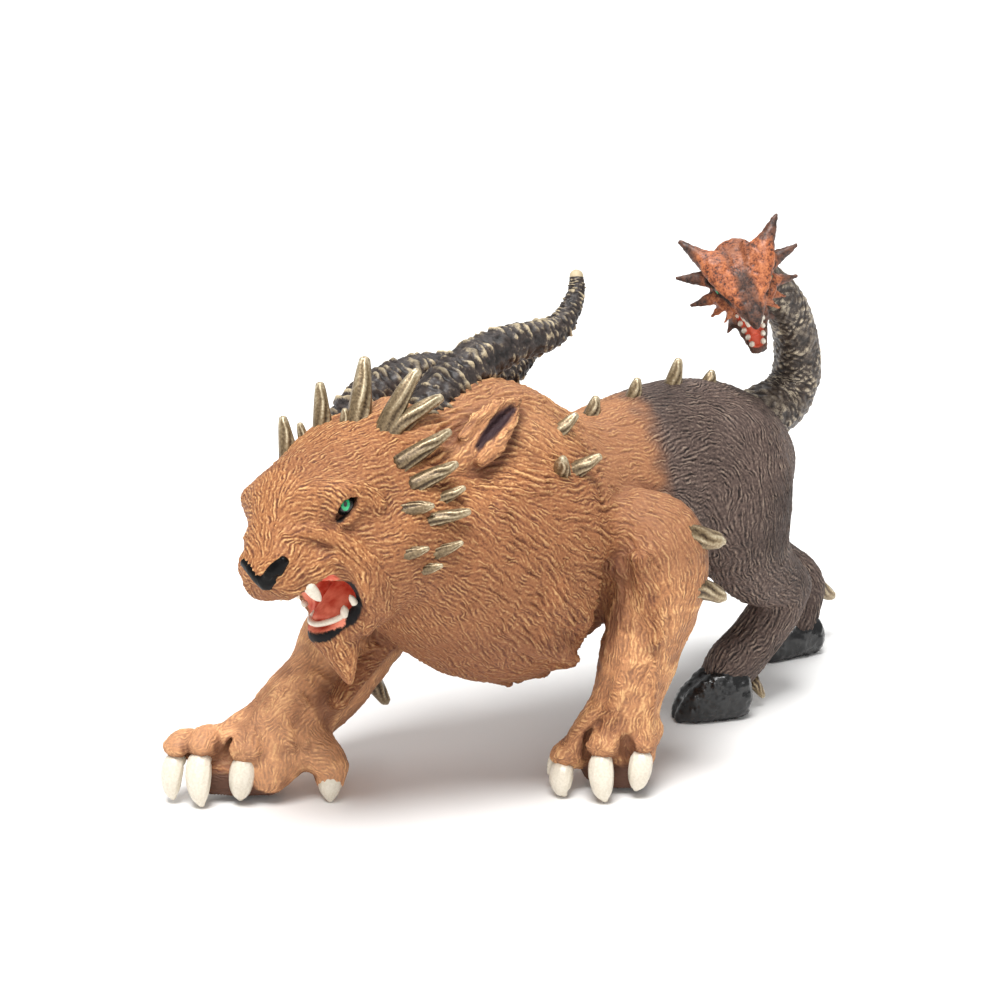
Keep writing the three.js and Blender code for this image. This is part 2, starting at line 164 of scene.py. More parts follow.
def strands(points: Vec, along: Vec, across: Vec, spacing: float, length: float, seed: int,
            crowd: int = 5) -> Vec:
    """Wavy combed lines: a sum of seeded wave packets, each a cosine in a long soft envelope.

    Args:
        points: places on the surface, in mm.
        along: the strands' direction there.
        across: the direction at right angles to them, in the surface.
        spacing: from one strand to the next, in mm.
        length: length of a packet along the strands, in mm.
        seed: which pattern.
        crowd: packets in each cell of side `length`.

    Returns:
        A value of about -1 in the grooves to 1 on the ridges.
    """
    base = np.floor(points / length)
    total = np.zeros(len(points), np.float32)
    across_wave = (across * (2 * math.pi / spacing)).astype(np.float32)
    along_scaled = (along / length).astype(np.float32)
    across_scale = spacing / (2 * math.pi) / (1.5 * spacing)
    for step in np.ndindex(3, 3, 3):
        cells = base + (np.array(step) - 1)
        for k in range(crowd):
            jitter = np.stack([scatter(cells, seed + 7 * k + a) for a in range(3)], axis=1)
            phase = scatter(cells, seed + 7 * k + 3) * (2 * math.pi)
            offset = (points - (cells + jitter) * length).astype(np.float32)
            wave = np.einsum("ij,ij->i", offset, across_wave)
            run = np.einsum("ij,ij->i", offset, along_scaled)
            far = np.einsum("ij,ij->i", offset, offset) / length**2
            envelope = np.exp(-math.pi * (0.6 * run**2 + (wave * across_scale) ** 2 + 0.4 * far))
            total += envelope * np.cos(wave + phase)
    return total / (2.2 * np.sqrt(np.mean(total**2)) + 1e-9)


# Chains: the masses and limbs that the beast is made of

@dataclass(frozen=True)
class Chain:
    """An oval section carried along a smooth line.

    Each station is (x, y, z, half width, half depth). The width lies along `across`, the depth at right
    angles to it and to the line. `blend` is the width in mm over which it melts into what it joins.
    """

    stations: Sequence[Sequence[float]]
    across: tuple[float, float, float] = (1, 0, 0)
    blend: float = 2.0
    frame: Frame = BEAST
    fineness: int = 5
    caps: tuple[float, float] = (0.75, 0.75)

    def curve(self, rows: int) -> tuple[Vec, Vec]:
        """Centres and half sizes at `rows` even steps along the stations, by Catmull-Rom interpolation."""
        knots = np.array(self.stations, float)
        padded = np.vstack([2 * knots[0] - knots[1], knots, 2 * knots[-1] - knots[-2]])
        at = np.linspace(0, len(knots) - 1, rows)
        i = np.minimum(at.astype(int), len(knots) - 2)
        t = (at - i)[:, None]
        before, start, end, after = (padded[i + k] for k in range(4))
        value = 0.5 * (2 * start + (end - before) * t + (2 * before - 5 * start + 4 * end - after) * t**2
                       + (3 * start - before - 3 * end + after) * t**3)
        return value[:, :3], np.maximum(value[:, 3:], 0.05)

    def sections(self, rows: int) -> tuple[Vec, Vec, Vec, Vec, Vec]:
        """Centres, half sizes, tangents, width axes and depth axes at `rows` steps, in the part's frame."""
        centres, sizes = self.curve(rows)
        tangents = unit(np.gradient(centres, axis=0))
        across = np.array(self.across, float)
        wide = unit(across - tangents * (tangents @ across)[:, None])
        deep = np.cross(tangents, wide)
        turn = self.frame.turn
        return self.frame.out(centres), sizes, turn(tangents), turn(wide), turn(deep)

    def mirrored(self) -> "Chain":
        """The same chain on the other side of its frame's middle plane."""
        stations = [(-s[0], *s[1:]) for s in self.stations]
        return replace(self, stations=stations, across=(-self.across[0], *self.across[1:]))


def limb(*stations: Sequence[float], **settings: object) -> Chain:
    """A chain from its stations. A station with four numbers has a round section."""
    full = [s if len(s) == 5 else (*s, s[3]) for s in stations]
    return Chain(full, **settings)


@dataclass(frozen=True)
class Profile:
    """A shape drawn from the side, in its frame's y and z, and carried across from cheek to cheek.

    In the middle, where |x| is under `middle`, it is lowered by `droop` mm.
    """

    outline: Sequence[tuple[float, float]]
    frame: Frame = BEAST
    half_width: float = 14.0
    droop: float = 0.0
    middle: float = 6.0
    blend: float = 0.7

    def distance(self, points: Vec) -> Vec:
        """The signed distance to the outline, cut off at the half width.

        A point is inside where a ray from it crosses the outline an odd number of times.
        """
        local = self.frame.back(points)
        x = np.abs(local[:, 0])
        y = local[:, 1]
        z = local[:, 2] + self.droop * smoothstep(self.middle, self.middle - 4, x)
        nearest = np.full(len(points), 99.0)
        inside = np.zeros(len(points), bool)
        for (ya, za), (yb, zb) in zip(self.outline, [*self.outline[1:], self.outline[0]]):
            dy, dz = yb - ya, zb - za
            t = np.clip(((y - ya) * dy + (z - za) * dz) / (dy * dy + dz * dz), 0, 1)
            nearest = np.minimum(nearest, np.hypot(y - ya - t * dy, z - za - t * dz))
            if dz:
                inside ^= ((za > z) != (zb > z)) & (y < ya + (z - za) * dy / dz)
        return np.maximum(np.where(inside, -nearest, nearest), x - self.half_width)


class Clay:
    """A block of space that chains are added to and cut from, held as a signed distance on a grid in mm."""

    REACH = 6.0        # distances are held at this, in mm
    FLOW_STEP = 0.85   # grids coarser than this also keep the way that the masses run

    def __init__(self, low: Vec, high: Vec, step: float) -> None:
        """A block from low to high with a grid of pitch `step`, empty at first."""
        self.low = np.array(low, float)
        self.step = step
        self.shape = tuple(np.ceil((np.array(high) - self.low) / step).astype(int) + 1)
        self.distance = np.full(self.shape, self.REACH, np.float32)
        self.flow = np.zeros((*self.shape, 3), np.float32) if step > self.FLOW_STEP else None

    def _window(self, low: Vec, high: Vec) -> tuple[slice, slice, slice]:
        """The grid's slices that cover a box."""
        start = np.clip(np.floor((low - self.low) / self.step).astype(int), 0, self.shape)
        stop = np.clip(np.ceil((high - self.low) / self.step).astype(int) + 1, 0, self.shape)
        return tuple(slice(a, b) for a, b in zip(start, stop))

    def _points(self, window: tuple[slice, slice, slice]) -> list[Vec]:
        """The grid's coordinates in a window, as three arrays that broadcast."""
        return [
            (self.low[a] + self.step * np.arange(window[a].start, window[a].stop)).astype(np.float32).reshape(
                [-1 if a == b else 1 for b in range(3)])
            for a in range(3)
        ]

    def measure(self, chain: Chain) -> tuple[tuple[slice, slice, slice], Vec, Vec]:
        """The signed distance to a chain and its run there, in the window that the chain reaches.

        Each short span is an elliptic rod. With q the offset from the nearest point of its line, the distance
        is k0 (k0 - 1) / k1, where k0 = |q / r| and k1 = |q / r^2| for the half sizes r.
        """
        rows = (len(chain.stations) - 1) * chain.fineness + 1
        centres, sizes, tangents, wide, deep = chain.sections(rows)
        pad = sizes.max(axis=1)[:, None] + self.REACH
        window = self._window(centres.min(0) - pad.max(), centres.max(0) + pad.max())
        shape = tuple(s.stop - s.start for s in window)
        best = np.full(shape, self.REACH, np.float32)
        run = np.zeros((*shape, 3) if self.flow is not None else (1,), np.float32)
        for j in range(rows - 1):
            a, b = centres[j], centres[j + 1]
            reach = max(pad[j, 0], pad[j + 1, 0])
            part = self._window(np.minimum(a, b) - reach, np.maximum(a, b) + reach)
            if min(s.stop - s.start for s in part) <= 0:
                continue
            inner = tuple(slice(p.start - w.start, p.stop - w.start) for p, w in zip(part, window))
            x, y, z = self._points(part)
            span = b - a
            t = ((x - a[0]) * span[0] + (y - a[1]) * span[1] + (z - a[2]) * span[2]) / max(span @ span, 1e-9)
            t = np.clip(t, 0, 1)
            offset = [(v - a[k]) - t * span[k] for k, v in enumerate((x, y, z))]
            half = [sizes[j, k] + t * (sizes[j + 1, k] - sizes[j, k]) for k in range(2)]
            cap = chain.caps[0] if j < rows / 2 else chain.caps[1]
            half.append(np.minimum(half[0], half[1]) * cap)
            scaled = [sum(axis[j, k] * offset[k] for k in range(3)) / half[m]
                      for m, axis in enumerate((wide, deep, tangents))]
            k0 = np.sqrt(sum(s * s for s in scaled))
            k1 = np.sqrt(sum((s / h) ** 2 for s, h in zip(scaled, half)))
            d = np.where(k1 > 1e-6, k0 * (k0 - 1) / np.maximum(k1, 1e-6), -np.minimum(half[0], half[1]))
            nearer = d < best[inner]
            best[inner] = np.where(nearer, d, best[inner])
            if self.flow is not None:
                run[inner] = np.where(nearer[..., None], tangents[j], run[inner])
        return window, best, run

    def add(self, *chains: Chain) -> "Clay":
        """Joins chains on, each melted in over its blend width by a smooth minimum."""
        for chain in chains:
            window, d, run = self.measure(chain)
            old = self.distance[window]
            share = np.clip(0.5 + 0.5 * (old - d) / chain.blend, 0, 1)
            self.distance[window] = old * (1 - share) + d * share - chain.blend * share * (1 - share)
            if self.flow is not None:
                self.flow[window] = self.flow[window] * (1 - share[..., None]) + run * share[..., None]
        return self

    def cut(self, *chains: Chain) -> "Clay":
        """Takes chains away, each with an edge rounded over its blend width."""
        for chain in chains:
            window, d, _ = self.measure(chain)
            self._take(window, d, chain.blend)
        return self

    def carve(self, profile: Profile, low: Vec, high: Vec) -> "Clay":
        """Takes a profile away within a box, with an edge rounded over its blend width."""
        window = self._window(low, high)
        shape = [s.stop - s.start for s in window]
        grid = np.stack([np.broadcast_to(v, shape) for v in self._points(window)], -1)
        d = profile.distance(grid.reshape(-1, 3)).reshape(shape).astype(np.float32)
        self._take(window, d, profile.blend)
        return self

    def _take(self, window: tuple[slice, slice, slice], d: Vec, blend: float) -> None:
        """Takes away what a distance encloses, by a smooth maximum of the old distance and -d."""
        old = self.distance[window]
        share = np.clip(0.5 - 0.5 * (old + d) / blend, 0, 1)
        self.distance[window] = old * (1 - share) - d * share + blend * share * (1 - share)

    def copy(self) -> "Clay":
        """The same clay once more, without its flow."""
        twin = Clay.__new__(Clay)
        twin.low, twin.step, twin.shape, twin.flow = self.low, self.step, self.shape, None
        twin.distance = self.distance.copy()
        return twin

    def floor(self, height: float = 0.0) -> "Clay":
        """Trims everything below a height."""
        z = self.low[2] + self.step * np.arange(self.shape[2])
        self.distance = np.maximum(self.distance, (height - z).astype(np.float32))
        return self

    def sample(self, points: Vec, values: Vec | None = None) -> Vec:
        """A grid's values at any points, blended from the eight corners around each."""
        grid = self.distance if values is None else values
        at = (points - self.low) / self.step
        at = np.clip(at, 0, np.array(grid.shape[:3]) - 1.001)
        i = at.astype(int)
        t = at - i
        total = 0
        for corner in np.ndindex(2, 2, 2):
            weight = np.prod(np.where(np.array(corner) > 0, t, 1 - t), axis=1)
            value = grid[i[:, 0] + corner[0], i[:, 1] + corner[1], i[:, 2] + corner[2]]
            total = total + (weight[:, None] * value if grid.ndim == 4 else weight * value)
        return total

    def surface(self) -> tuple[Vec, Vec]:
        """The zero surface as points and four-sided faces.

        Each cell that the surface crosses has a point, at the mean of the crossings on the cell's edges. Each
        grid edge that it crosses has a face round it.
        """
        d = self.distance
        inside = d < 0
        nx, ny, nz = d.shape
        count = np.zeros((nx - 1, ny - 1, nz - 1), np.uint8)
        for corner in np.ndindex(2, 2, 2):
            i, j, k = corner
            count += inside[i:nx - 1 + i, j:ny - 1 + j, k:nz - 1 + k]
        cells = np.stack(np.nonzero((count > 0) & (count < 8)), axis=1)
        total = np.zeros((len(cells), 3))
        hits = np.zeros(len(cells))
        for axis in range(3):
            others = [a for a in range(3) if a != axis]
            for one, two in np.ndindex(2, 2):
                start = np.zeros(3, int)
                start[others[0]], start[others[1]] = one, two
                end = start.copy()
                end[axis] = 1
                a = d[tuple((cells + start).T)]
                b = d[tuple((cells + end).T)]
                crossed = (a < 0) != (b < 0)
                t = np.where(crossed, a / np.where(crossed, a - b, 1), 0)
                total += crossed[:, None] * (start + t[:, None] * (end - start))
                hits += crossed
        points = self.low + (cells + total / hits[:, None]) * self.step
        index = np.full(count.shape, -1, np.int32)
        index[tuple(cells.T)] = np.arange(len(cells))
        faces = []
        for axis in range(3):
            one, two = [(axis + 1) % 3, (axis + 2) % 3]
            lower = [slice(None)] * 3
            upper = [slice(None)] * 3
            lower[axis], upper[axis] = slice(0, -1), slice(1, None)
            a, b = inside[tuple(lower)], inside[tuple(upper)]
            edges = np.stack(np.nonzero(a != b), axis=1)
            keep = (edges[:, one] > 0) & (edges[:, two] > 0)
            keep &= (edges[:, one] < d.shape[one] - 1) & (edges[:, two] < d.shape[two] - 1)
            edges = edges[keep]
            outward = a[tuple(edges.T)]
            corners = []
            for back_one, back_two in ((1, 1), (0, 1), (0, 0), (1, 0)):
                cell = edges.copy()
                cell[:, one] -= back_one
                cell[:, two] -= back_two
                corners.append(index[tuple(cell.T)])
            quad = np.stack(corners, axis=1)
            faces.append(np.where(outward[:, None], quad, quad[:, ::-1]))
        return points, np.concatenate(faces)


def distance_to(points: Vec, chains: Iterable[Chain], centre: Vec, reach: float, step: float) -> Vec:
    """The signed distance in mm from points to some chains that lie within `reach` of a centre."""
    found = np.full(len(points), Clay.REACH)
    near = np.abs(points - centre).max(axis=1) < reach
    found[near] = Clay(centre - reach, centre + reach, step).add(*chains).sample(points[near])
    return found


# Meshes and pieces

def make_mesh(name: str, points: Vec, faces: Vec,
              attributes: dict[str, Vec] | None = None) -> bpy.types.Object:
    """A smooth-shaded mesh object at the origin.

    Args:
        name: the piece's name.
        points: places in the part's frame, in mm.
        faces: four corners a face, with the last one repeated on a triangle.
        attributes: values or vectors kept on the points.

    Returns:
        The new object, linked to the scene.
    """
    mesh = bpy.data.meshes.new(name)
    faces = np.asarray(faces, np.int32)
    corners = np.where(faces[:, 3] == faces[:, 2], 3, 4)
    starts = np.concatenate([[0], np.cumsum(corners)[:-1]])
    flat = faces[np.arange(4)[None, :] < corners[:, None]]
    mesh.vertices.add(len(points))
    mesh.vertices.foreach_set("co", (points * MILLIMETRE).astype(np.float32).ravel())
    mesh.loops.add(len(flat))
    mesh.loops.foreach_set("vertex_index", flat)
    mesh.polygons.add(len(faces))
    mesh.polygons.foreach_set("loop_start", starts.astype(np.int32))
    mesh.polygons.foreach_set("use_smooth", np.ones(len(faces), bool))
    for key, values in (attributes or {}).items():
        kind = "FLOAT_VECTOR" if values.ndim == 2 else "FLOAT"
        layer = mesh.attributes.new(key, kind, "POINT")
        layer.data.foreach_set("vector" if values.ndim == 2 else "value", values.astype(np.float32).ravel())
    mesh.update(calc_edges=True)
    mesh.validate()
    made = bpy.data.objects.new(name, mesh)
    bpy.context.scene.collection.objects.link(made)
    return made


def normals_of(points: Vec, faces: Vec) -> Vec:
    """Unit normals at the points, from the faces' diagonals."""
    across = np.cross(points[faces[:, 2]] - points[faces[:, 0]], points[faces[:, 3]] - points[faces[:, 1]])
    thin = faces[:, 3] == faces[:, 2]
    if thin.any():
        tri = faces[thin]
        across[thin] = np.cross(points[tri[:, 1]] - points[tri[:, 0]], points[tri[:, 2]] - points[tri[:, 0]])
    total = np.zeros_like(points)
    for k in range(4):
        for a in range(3):
            total[:, a] += np.bincount(faces[:, k], across[:, a], len(points))
    return unit(total)


@dataclass
class Skin:
    """A surface on its way to becoming a piece: points, faces and what is painted on the points."""

    points: Vec
    faces: Vec
    paint: dict[str, Vec] = field(default_factory=dict)

    def swell(self, amount: Vec) -> "Skin":
        """Moves each point along its normal by an amount in mm."""
        self.points = self.points + normals_of(self.points, self.faces) * amount[:, None]
        return self


def ring_faces(rows: int, around: int, inside_out: bool = False) -> Vec:
    """Faces of rings that close on two poles, the last two points: the first ring's and the last one's."""
    i, j = np.meshgrid(np.arange(rows - 1), np.arange(around), indexing="ij")
    k = (j + 1) % around
    quads = np.stack([i * around + j, i * around + k, (i + 1) * around + k, (i + 1) * around + j], -1)
    quads = quads.reshape(-1, 4)
    j = np.arange(around)
    k = (j + 1) % around
    last = (rows - 1) * around
    first_pole, last_pole = (np.full(around, rows * around + pole) for pole in (0, 1))
    fans = np.vstack([np.stack([k, j, first_pole, first_pole], 1),
                      np.stack([last + j, last + k, last_pole, last_pole], 1)])
    if inside_out:
        quads, fans = quads[:, [0, 3, 2, 1]], fans[:, [1, 0, 2, 3]]
    return np.vstack([quads, fans])


def tube(chain: Chain, rows: int, around: int, relief: Callable[[Vec, Vec], Vec] | None = None) -> Skin:
    """A closed tube along a chain, with round ends.

    A point at angle w and share v of the length lies at
    centre(v) + (cos w wide + sin w deep) size(v) (1 + relief).
    Rings that shrink to a share s lie sqrt(1 - s^2) radii beyond the ends, and close on a pole.

    Args:
        chain: what the tube follows.
        rows: rings along it.
        around: points in a ring.
        relief: gives the swelling as a share of the radius, from angle and share of the length.

    Returns:
        The tube, painted with `run` (share of the length) and `ridge` (the relief).
    """
    centres, sizes, tangents, wide, deep = chain.sections(rows)
    ends = np.array([0.35, 0.75, 0.95])
    half = sizes.min(axis=1)
    push = np.sqrt(1 - ends**2)
    first = centres[0] - np.outer(push * half[0] * chain.caps[0], tangents[0])
    last = centres[-1] + np.outer(push[::-1] * half[-1] * chain.caps[1], tangents[-1])
    shrink = np.concatenate([ends, np.ones(rows), ends[::-1]])
    middle = np.vstack([first, centres, last])
    rows_used = np.concatenate([[0, 0, 0], np.arange(rows), [-1, -1, -1]])
    size, wide, deep = sizes[rows_used] * shrink[:, None], wide[rows_used], deep[rows_used]
    angle = np.arange(around) / around * 2 * math.pi
    share = np.concatenate([np.zeros(3), np.linspace(0, 1, rows), np.ones(3)])
    turn, along = np.meshgrid(angle, share)
    swell = relief(turn, along) if relief else np.zeros_like(turn)
    radius = (1 + swell)[..., None]
    ring = middle[:, None] + radius * (np.cos(turn)[..., None] * (wide * size[:, :1])[:, None]
                                       + np.sin(turn)[..., None] * (deep * size[:, 1:])[:, None])
    poles = np.stack([centres[0] - tangents[0] * half[0] * chain.caps[0],
                      centres[-1] + tangents[-1] * half[-1] * chain.caps[1]])
    points = np.vstack([ring.reshape(-1, 3), poles])
    paint = {"run": np.append(along.ravel(), [0, 1]), "ridge": np.append(swell.ravel(), [0, 0])}
    return Skin(points, ring_faces(len(share), around), paint)


def unrolled(turn: Vec, along: Vec, radius: float, length: float) -> Vec:
    """Places on a straight tube of a radius and length in mm, for noise that closes round it."""
    return np.stack([radius * np.cos(turn).ravel(), radius * np.sin(turn).ravel(), (along * length).ravel()],
                    1)


def joined(skins: Iterable[Skin]) -> Skin:
    """Several surfaces as one."""
    skins = list(skins)
    starts = np.cumsum([0] + [len(skin.points) for skin in skins])
    faces = np.concatenate([skin.faces + start for skin, start in zip(skins, starts)])
    paint = {key: np.concatenate([skin.paint[key] for skin in skins]) for key in skins[0].paint}
    return Skin(np.concatenate([skin.points for skin in skins]), faces, paint)


# Finishes

def linear(colour: str) -> tuple[float, float, float, float]:
    """An sRGB hex value as linear red, green, blue and alpha."""
    channels = [int(colour[i:i + 2], 16) / 255 for i in (1, 3, 5)]
    return (*(c / 12.92 if c <= 0.04045 else ((c + 0.055) / 1.055) ** 2.4 for c in channels), 1.0)


def node(tree: Tree, kind: str, links: dict | None = None, **settings: object) -> bpy.types.Node:
    """Adds a shader node.

    Args:
        tree: the material's tree.
        kind: the node's type without "ShaderNode".
        links: for each input's name or number, a socket to link, an sRGB hex colour or a plain value.
        settings: the node's own properties.

    Returns:
        The node.
    """
    made = tree.nodes.new("ShaderNode" + kind)
    for key, value in settings.items():
        setattr(made, key, value)
    for key, value in (links or {}).items():
        if isinstance(value, Socket):
            tree.links.new(value, made.inputs[key])
        else:
            made.inputs[key].default_value = linear(value) if isinstance(value, str) else value
    return made


def painted(tree: Tree, name: str) -> Socket:
    """The value of an attribute kept on the points."""
    return node(tree, "Attribute", attribute_name=name).outputs["Fac"]


def blend_colour(tree: Tree, share: object, low: object, high: object) -> Socket:
    """A colour that goes from low to high as share goes from 0 to 1."""
    mix = node(tree, "Mix", {0: share, 6: low, 7: high}, data_type="RGBA", clamp_factor=True)
    return mix.outputs[2]


def ramp(tree: Tree, value: Socket, low: float, high: float, start: float = 0, end: float = 1) -> Socket:
    """A value mapped from low..high to start..end, held at the ends."""
    ends = {"From Min": low, "From Max": high, "To Min": start, "To Max": end}
    return node(tree, "MapRange", {"Value": value, **ends}).outputs[0]


def grain(tree: Tree, size_mm: float, detail: float = 3) -> Socket:
    """Noise on Object coordinates whose largest blotches are size_mm apart."""
    place = node(tree, "TexCoord").outputs["Object"]
    scale = 1 / (size_mm * MILLIMETRE)
    return node(tree, "TexNoise", {"Vector": place, "Scale": scale, "Detail": detail}).outputs[0]


def calc(tree: Tree, operation: str, *values: object) -> Socket:
    """A sum, product or the like of sockets and numbers."""
    return node(tree, "Math", dict(enumerate(values)), operation=operation).outputs[0]


def shader(name: str, colour: Callable[[Tree], Socket], height: Callable[[Tree], Socket], depth_mm: float,
           roughness: float, rough_spread: float = 0.1, metallic: float = 0.0, coat: float = 0.0,
           specular: float = 0.5) -> bpy.types.Material:
    """A painted finish.

    Args:
        name: the material's name.
        colour: builds the colour in the tree.
        height: builds the bump height, 0 to 1.
        depth_mm: depth of the bump in mm.
        roughness: mean roughness.
        rough_spread: how far fine noise moves it.
        metallic: 1 on metal paint.
        coat: strength of a clear gloss coat.
        specular: strength of the mirror light, 0.5 on plain vinyl.

    Returns:
        The material.
    """
    material = bpy.data.materials.new(name)
    material.use_nodes = True
    tree = material.node_tree
    main = tree.nodes["Principled BSDF"]
    tree.links.new(colour(tree), main.inputs["Base Color"])
    bump = node(tree, "Bump", {"Height": height(tree), "Strength": 1.0, "Distance": depth_mm * MILLIMETRE})
    tree.links.new(bump.outputs[0], main.inputs["Normal"])
    rough = ramp(tree, grain(tree, 1.5), 0.3, 0.7, roughness - rough_spread, roughness + rough_spread)
    tree.links.new(rough, main.inputs["Roughness"])
    main.inputs["Metallic"].default_value = metallic
    main.inputs["Coat Weight"].default_value = coat
    main.inputs["Coat Roughness"].default_value = 0.12
    main.inputs["IOR"].default_value = 1.5
    main.inputs["Specular IOR Level"].default_value = specular
    return material


# The beast's masses, station by station

def pair(*chains: Chain) -> list[Chain]:
    """Chains, each followed by its mirror image."""
    return [either for chain in chains for either in (chain, chain.mirrored())]


def spine(y: float, top: float, bottom: float, half: float, x: float = 0) -> tuple[float, ...]:
    """A station of the torso from its top and bottom heights."""
    return x, y, (top + bottom) / 2, half, (top - bottom) / 2


@dataclass(frozen=True)
class Spike:
    """A horn-like spike with a blunt tip, from its root to its tip."""

    root: tuple[float, float, float]
    tip: tuple[float, float, float]
    radius: float
    frame: Frame = BEAST
    bow: float = 0.0
    sunk: float = 0.25
    blunt: float = 0.55

    def chain(self) -> Chain:
        """The spike's line: straight or bowed up, thickest at the root."""
        root, tip = np.array(self.root, float), np.array(self.tip, float)
        reach = tip - root
        length = np.linalg.norm(reach)
        across = UP if abs(unit(reach) @ LEFTWARD) > 0.8 else LEFTWARD
        stations = []
        for t, share in ((-self.sunk, 1.3), (0.15, 1.08), (0.6, 0.84), (0.88, 0.64), (1, self.blunt * 0.9)):
            place = root + reach * t + UP * (self.bow * 4 * t * (1 - t) * length)
            stations.append((*place, self.radius * share, self.radius * share))
        return Chain(stations, across=tuple(across), frame=self.frame)


@dataclass(frozen=True)
class Toe:
    """A clawed toe, measured by its claw: the claw's root and tip, the way it points and its half width."""

    root: tuple[float, float, float]
    tip: tuple[float, float, float]
    aim: tuple[float, float]
    half_width: float
    size: float = 4.3
    spread: float = 1.22

    @property
    def axes(self) -> tuple[Vec, Vec]:
        """The way the toe points along the ground, and the way across it."""
        aim = unit(vec(*self.aim, 0))
        return aim, np.cross(aim, UP)

    def finger(self) -> Chain:
        """The furred toe behind the claw."""
        aim, across = self.axes
        root, w, s = np.array(self.root), self.half_width * self.spread, self.size
        return limb((*(root + UP * 2.2), w * 0.9, s * 0.55),
                    (*(root - aim * s * 0.8 + UP * 2.2), w, s * 0.95),
                    (*(root - aim * s * 1.9 + UP), w * 0.94, s * 0.9),
                    (*(root - aim * s * 2.8), w * 0.84, s * 0.8), across=tuple(across), blend=0.8)

    def claw(self) -> Chain:
        """The broad claw that bulges from the toe's front down to its blunt tip."""
        aim, across = self.axes
        root, tip, w = np.array(self.root), np.array(self.tip), self.half_width
        fall = tip - root
        return limb((*(root - aim * 1.6 - UP * 0.6), w * 0.7, w * 0.6),
                    (*(root + fall * 0.14 - aim * 0.2), w * 0.94, w * 0.8),
                    (*(root + fall * 0.42 + aim * 0.5), w, w * 0.84),
                    (*(root + fall * 0.75 + aim * 0.5), w * 0.74, w * 0.62),
                    (*(tip + UP * 0.5), w * 0.26, w * 0.24), across=tuple(across), fineness=8,
                    caps=(0.7, 0.7))


TORSO = (
    limb(spine(-38, 72, 47, 16, -5), spine(-28, 77, 39.5, 22.4, -3), spine(-16, 79, 28.5, 25.9, -1),
         spine(-5, 79, 22.2, 27), spine(3, 77, 27.4, 24.8), spine(9, 75, 32.6, 21), spine(16, 74, 34.2, 19),
         spine(27, 75.5, 32.5, 18.5), spine(41, 77, 35, 18.5), spine(54, 76, 36, 19), spine(65, 71, 38, 16),
         spine(74, 64, 43, 9.9), blend=5.0, fineness=4),
    limb(spine(-38, 82, 54, 15, -10), spine(-22, 86, 56, 15, -6), spine(-8, 87.6, 56, 15, -2),
         spine(2.6, 82, 54, 13), spine(11, 75, 52, 10), blend=6.0),
    limb((0, 2, 30, 6), (0.6, 1, 23.6, 3.6), (0.8, -0.4, 20.2, 1.6), blend=3.0),
)
ARMPIT = limb((24.4, 2, 51, 1.2), (22.6, 4, 44, 3.4), (19.8, 5, 37, 4), (16.5, 5.6, 32, 3), blend=4.0)
LOCKS = [
    limb((*root, 4), (*middle, 2.4), (*tip, 0.9), blend=2.5)
    for root, middle, tip in (
        ((1, -14, 30), (2, -9, 25), (3, -4.6, 20.6)), ((7, -8, 30), (8.5, -3, 25.8), (9.5, -0.4, 23.8)),
        ((-7, -20, 34), (-6, -15, 28.6), (-5, -11, 24.8)), ((15, -8, 35), (16.4, -3, 30.2), (17.2, 0.4, 28)),
        ((24, -12, 47), (25.2, -6.6, 43), (25.4, -3, 40)),
        ((22, -14, 39), (23, -8, 34.6), (23.2, -4.4, 31.4)))
]
LEFT_FORELEG = limb(
    (20.6, 13, 57, 6.6, 8.6), (24.3, 16.8, 52.6, 9.3, 11.2), (25.7, 17.6, 47.5, 9.7, 10.8),
    (26.2, 16, 41, 8.8, 10), (25.8, 13.8, 34, 8.2, 9.1), (25.4, 11.4, 27.5, 7.9, 8.2),
    (24.8, 9.6, 21, 7.4, 7), (24.2, 9, 15, 7.6, 6.8), (24, 9, 10.5, 8, 6.4), (24, 9.6, 6.6, 7.2, 5.2),
    blend=3.5)
KNUCKLES = (
    limb((23, 6.4, 19.6, 4.2), (20.8, 2.4, 13.4, 3.8), (19.4, -1, 9.4, 3.2), blend=1.4),
    limb((26, 6, 13.6, 4), (26.4, 2.8, 12.8, 3.4), blend=1.2),
    limb((29, 10.4, 13.6, 4), (30.4, 8.8, 12.8, 3.2), blend=1.2),
    limb((-26, -48, 14.4, 4.4), (-29.6, -56, 12, 3.6), (-31.6, -60, 10.6, 3.2), blend=1.4),
    limb((-24, -50, 13.6, 4.4), (-27.4, -57, 11.6, 3.6), blend=1.4),
)
GROOVES = (
    limb((22.8, 1, 15, 0.6), (22.9, 0, 12, 1.3), (23.3, 0.6, 7, 1.7), (23.5, 1.2, 3, 1.7), blend=1.0),
    limb((29.8, 3.4, 15, 0.6), (30, 4, 12.5, 1.2), (30, 4.8, 9, 1.6), (29.8, 5.4, 4, 1.7), blend=1.0),
    limb((-31.4, -58, 14.6, 0.7), (-31.6, -63, 12, 1), (-31, -66, 8, 1), blend=0.8),
    limb((-25, -54, 15, 0.9), (-25.4, -58.4, 12, 1.3), (-25.2, -59.4, 8, 1.2), blend=1.0),
)
PADS = (
    limb((20, 4.2, 4, 3, 3), (24.6, 6, 4, 3.6, 3.4), (28.8, 9.4, 4, 3, 3), blend=1.0),
    limb((-29.4, -60, 5.4, 3.4, 4.2), (-25, -55.4, 4.8, 3.8, 4), (-21, -51, 4.6, 3.4, 3.4), blend=1.0),
)
LEFT_TOES = (
    Toe((18.9, -4.3, 6.4), (20.9, -5.2, 0.3), (0.1, -0.99), 2.6, 3.6),
    Toe((26.9, -0.7, 9.8), (28.8, -0.9, 0.3), (0.4, -0.92), 2.7, 3.8, 1.34),
    Toe((31.8, 7, 9.8), (30.8, 6.2, 1.4), (0.75, -0.66), 2.45, 3.6),
)
